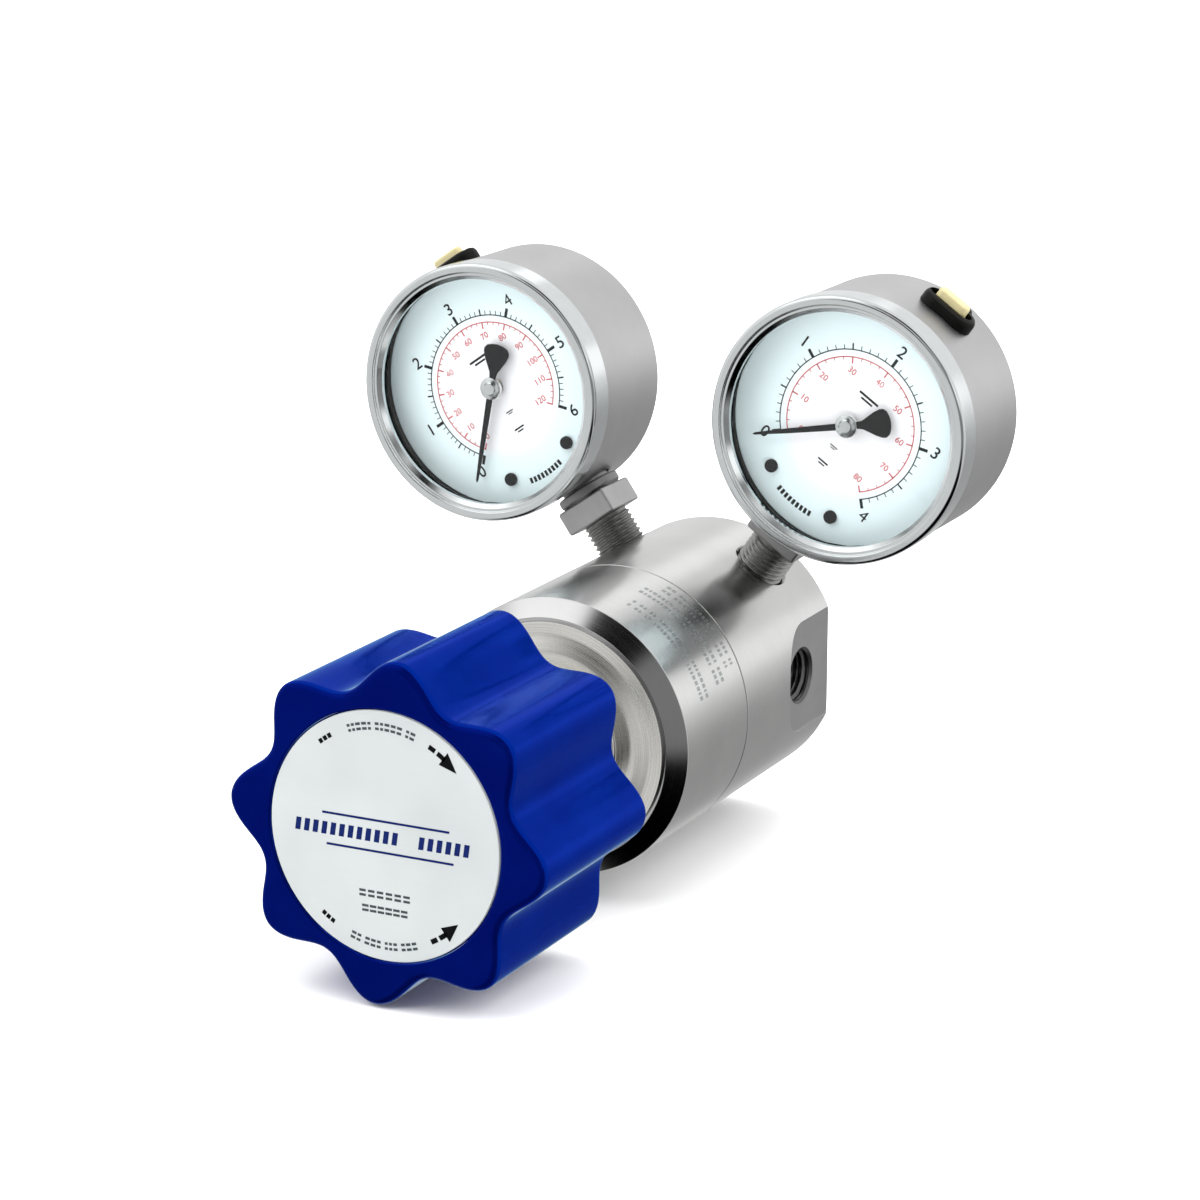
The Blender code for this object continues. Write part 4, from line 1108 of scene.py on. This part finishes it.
    def build_stem(self):
        """The collar and square wrench block under the case, and the pipe thread below it."""
        across = shift(0, PORT_Y, 0) @ UPRIGHT
        shape = bmesh.new()
        block(shape, (0, (STEM_BLOCK_TOP + STEM_BLOCK_BOTTOM) / 2, 0),
              (STEM_BLOCK_WIDTH, STEM_BLOCK_TOP - STEM_BLOCK_BOTTOM, STEM_BLOCK_WIDTH))
        stem = self.add("stem_block", shape, "milled_steel", "gauge_steel", "stem", place=across)
        softened(stem, 0.7, 3)
        collar = [(0.0, -28.0), (6.7, -28.0), (6.7, -33.6), (8.7, -33.9, 0.6), (8.7, -36.0, 0.8),
                  (7.6, -36.9, 0.3), (0.0, -36.9)]
        # The collar is painted dark: painted shade under the case.
        self.add("stem_collar", lathed(collar, SMALL), "collar_steel_painted_shade", "gauge_steel", place=across)
        rings = threaded(5.9, 6.6, STEM_END, STEM_BLOCK_BOTTOM + 0.3, THREAD_PITCH)
        # The stem's thread is painted darker: painted shade.
        self.add("stem_thread", skinned(rings), "thread_steel_painted_shade", "gauge_steel", place=across)

    def build_vent(self):
        """The rubber plug with its saddle-shaped foot, and the cream lever in its slot."""
        level = shift(0, PORT_Y, 0)
        across = self.place @ level
        profile = [(0.0, 31.4), (0.0, VENT_TOP - 2.6), (-0.15, VENT_TOP - 1.9),
                   (-0.5, VENT_TOP - 1.35), (-1.1, VENT_TOP - 1.05), (-1.9, VENT_TOP - 0.95)]
        rings = [stadium(4.75 + grow, 2.9, height) for grow, height in profile]
        plug = self.add("vent_grommet", skinned(rings), "black_rubber", node="vent_plug",
                        place=level)
        tab = [stadium(2.7 + grow, 0.9, height) for grow, height in profile]
        cut(plug, skinned(tab), across @ shift(1.2, 3.9, 0.2), "UNION")
        foot_radius = CASE_RADIUS + 0.03
        saddle = [(0.0, -50.0), (foot_radius, -50.0), (foot_radius, 30.0), (0.0, 30.0)]
        cut(plug, lathed(saddle, FINE), self.place)
        slot = [stadium(2.15, 4.3, height, -0.45) for height in (34.1, VENT_TOP + 2.0)]
        cut(plug, skinned(slot), across)
        hinge_x, hinge_z = LEVER_HINGE
        profile = [(-0.35, -1.3), (0.0, -0.9), (0.0, 1.5), (-0.15, 1.95), (-0.5, 2.3)]
        rings = [stadium(1.75 + grow, 2.9, height, -hinge_x - 0.3) for grow, height in profile]
        self.add("vent_toggle", skinned(rings), "cream_plastic", node="vent_lever",
                 body=self.lever_body, place=shift(hinge_x, PORT_Y, hinge_z))


# ---- kept CAD nodes

def paint_kept_nodes():
    """CAD nodes whose shape is right keep it and get a detailed material."""
    words_by_paint = {
        "black_rubber": ("oring", "seal"), "white_ptfe": ("backup_ring",),
        "seat_polymer": ("valve_seat",), "spring_steel": ("filter_clip", "circlip"),
        "sintered_filter": ("inlet_filter",),
        "brass": ("piston", "pinion", "sector", "link", "movement", "bourdon"),
    }
    for name, node in frame["nodes"].items():
        if node.hide_render:
            continue
        paint = next((paint for paint, words in words_by_paint.items()
                      if any(word in name for word in words)), "body_steel")
        for slot in node.material_slots:
            slot.material = PAINT[paint]


# ---- studio

def sky_patch(sky, direction, toward, edge, core):
    """How much a view direction lies in a soft round patch of the sky, 0 to 1."""
    dot = sky.node("VectorMath")
    dot.operation = "DOT_PRODUCT"
    sky.feed(dot.inputs[0], direction)
    sky.feed(dot.inputs[1], Vector(toward).normalized())
    ramp = sky.node("MapRange", Value=dot.outputs["Value"], From_Min=cos(radians(edge)),
                    From_Max=cos(radians(core)))
    ramp.interpolation_type = "SMOOTHSTEP"
    return ramp.outputs["Result"]


def build_world():
    """A white studio: bright above and to the left, dim in front on the right and below."""
    world = bpy.data.worlds.new("studio")
    sky = Nodes(world)
    direction = sky.node("TexCoord").outputs["Generated"]
    level = sky_patch(sky, direction, (0, 0, 1), 110.0, 84.0)
    total = sky.node("MapRange", Value=level, To_Min=SKY_LOW, To_Max=SKY_HIGH).outputs["Result"]
    for toward, edge, core, amount in SKY_PATCHES:
        patch = sky_patch(sky, direction, toward, edge, core)
        total = sky.node("Mix", Factor=patch, A=total, B=amount).outputs["Result"]
    sky.wire(sky.tree.nodes["Background"], Color=(1.0, 1.0, 1.0, 1.0), Strength=total)
    bpy.context.scene.world = world


def build_floor():
    """A white paper floor, and a white wall far behind that only the camera sees."""
    gap = 0.0005
    floor_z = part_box("knob")[0].z - gap
    reach, height, sides = 12.0, 5.0, 96
    paper = Surface("floor_paper")
    paper.colour(paper.noise(0.01), (0.93, 0.93, 0.93), (0.95, 0.95, 0.95))
    paper.rough(paper.noise(0.05), 0.8, 0.9)
    low = [(x, y, floor_z) for x, _, y in circle(reach, 0.0, sides)]
    high = [(x, y, height) for x, y, _ in low]
    walls = [(index, (index + 1) % sides, (index + 1) % sides + sides, index + sides)
             for index in range(sides)]
    for name, points, faces in (("floor", low, [tuple(range(sides))]),
                                ("backdrop", low + high, walls)):
        mesh = bpy.data.meshes.new(name)
        mesh.from_pydata(points, [], faces)
        mesh.materials.append(paper.material)
        piece = linked(name, mesh)
        piece.visible_glossy = False
        if name == "backdrop":
            piece.visible_diffuse = False
            piece.visible_shadow = False


def add_sun(name, toward, strength, angle):
    """A soft sun from a direction. The metals mirror the sky's patches instead of it."""
    data = bpy.data.lights.new(name, "SUN")
    data.energy = strength
    data.angle = radians(angle)
    lamp = linked(name, data)
    lamp.visible_glossy = False
    look(lamp, Vector(toward) * 2.0, -Vector(toward))


def look(thing, place, direction):
    thing.location = place
    thing.rotation_mode = "QUATERNION"
    thing.rotation_quaternion = direction.to_track_quat("-Z", "Y")


def build_studio():
    build_floor()
    build_world()
    add_sun("overhead", (-0.25, -0.15, 0.95), 3.4, 80.0)
    add_sun("rear_right", (0.62, 0.4, 0.67), 3.0, 60.0)
    add_sun("front_fill", (-0.5, -0.8, 0.35), 0.6, 60.0)
    bpy.context.scene.view_settings.view_transform = "Standard"


def build_camera():
    """The camera that was fitted to the outlines in the photo."""
    azimuth = radians(26.91)
    elevation = radians(15.21)
    distance = 0.95285
    target = Vector((-27.2, -16.8, 12.9)) * MM
    back = Vector((sin(azimuth) * cos(elevation),
                   -cos(azimuth) * cos(elevation), sin(elevation)))
    data = bpy.data.cameras.new("camera")
    data.sensor_width = 36.0
    data.lens = 107.42
    data.clip_start = 0.01
    data.clip_end = 50.0
    camera = linked("camera", data)
    look(camera, target + back * distance, -back)
    bpy.context.scene.camera = camera


build_valve_body()
build_bonnet()
build_etched_marks()
build_knob()
build_knob_ribs()
build_label()
build_label_legends()
build_label_band()
build_adjusting_screw()
Gauge("left", -1, majors=7).build()
Gauge("right", 1, majors=5).build()
even_shading()
build_springs()
paint_kept_nodes()
build_studio()
build_camera()
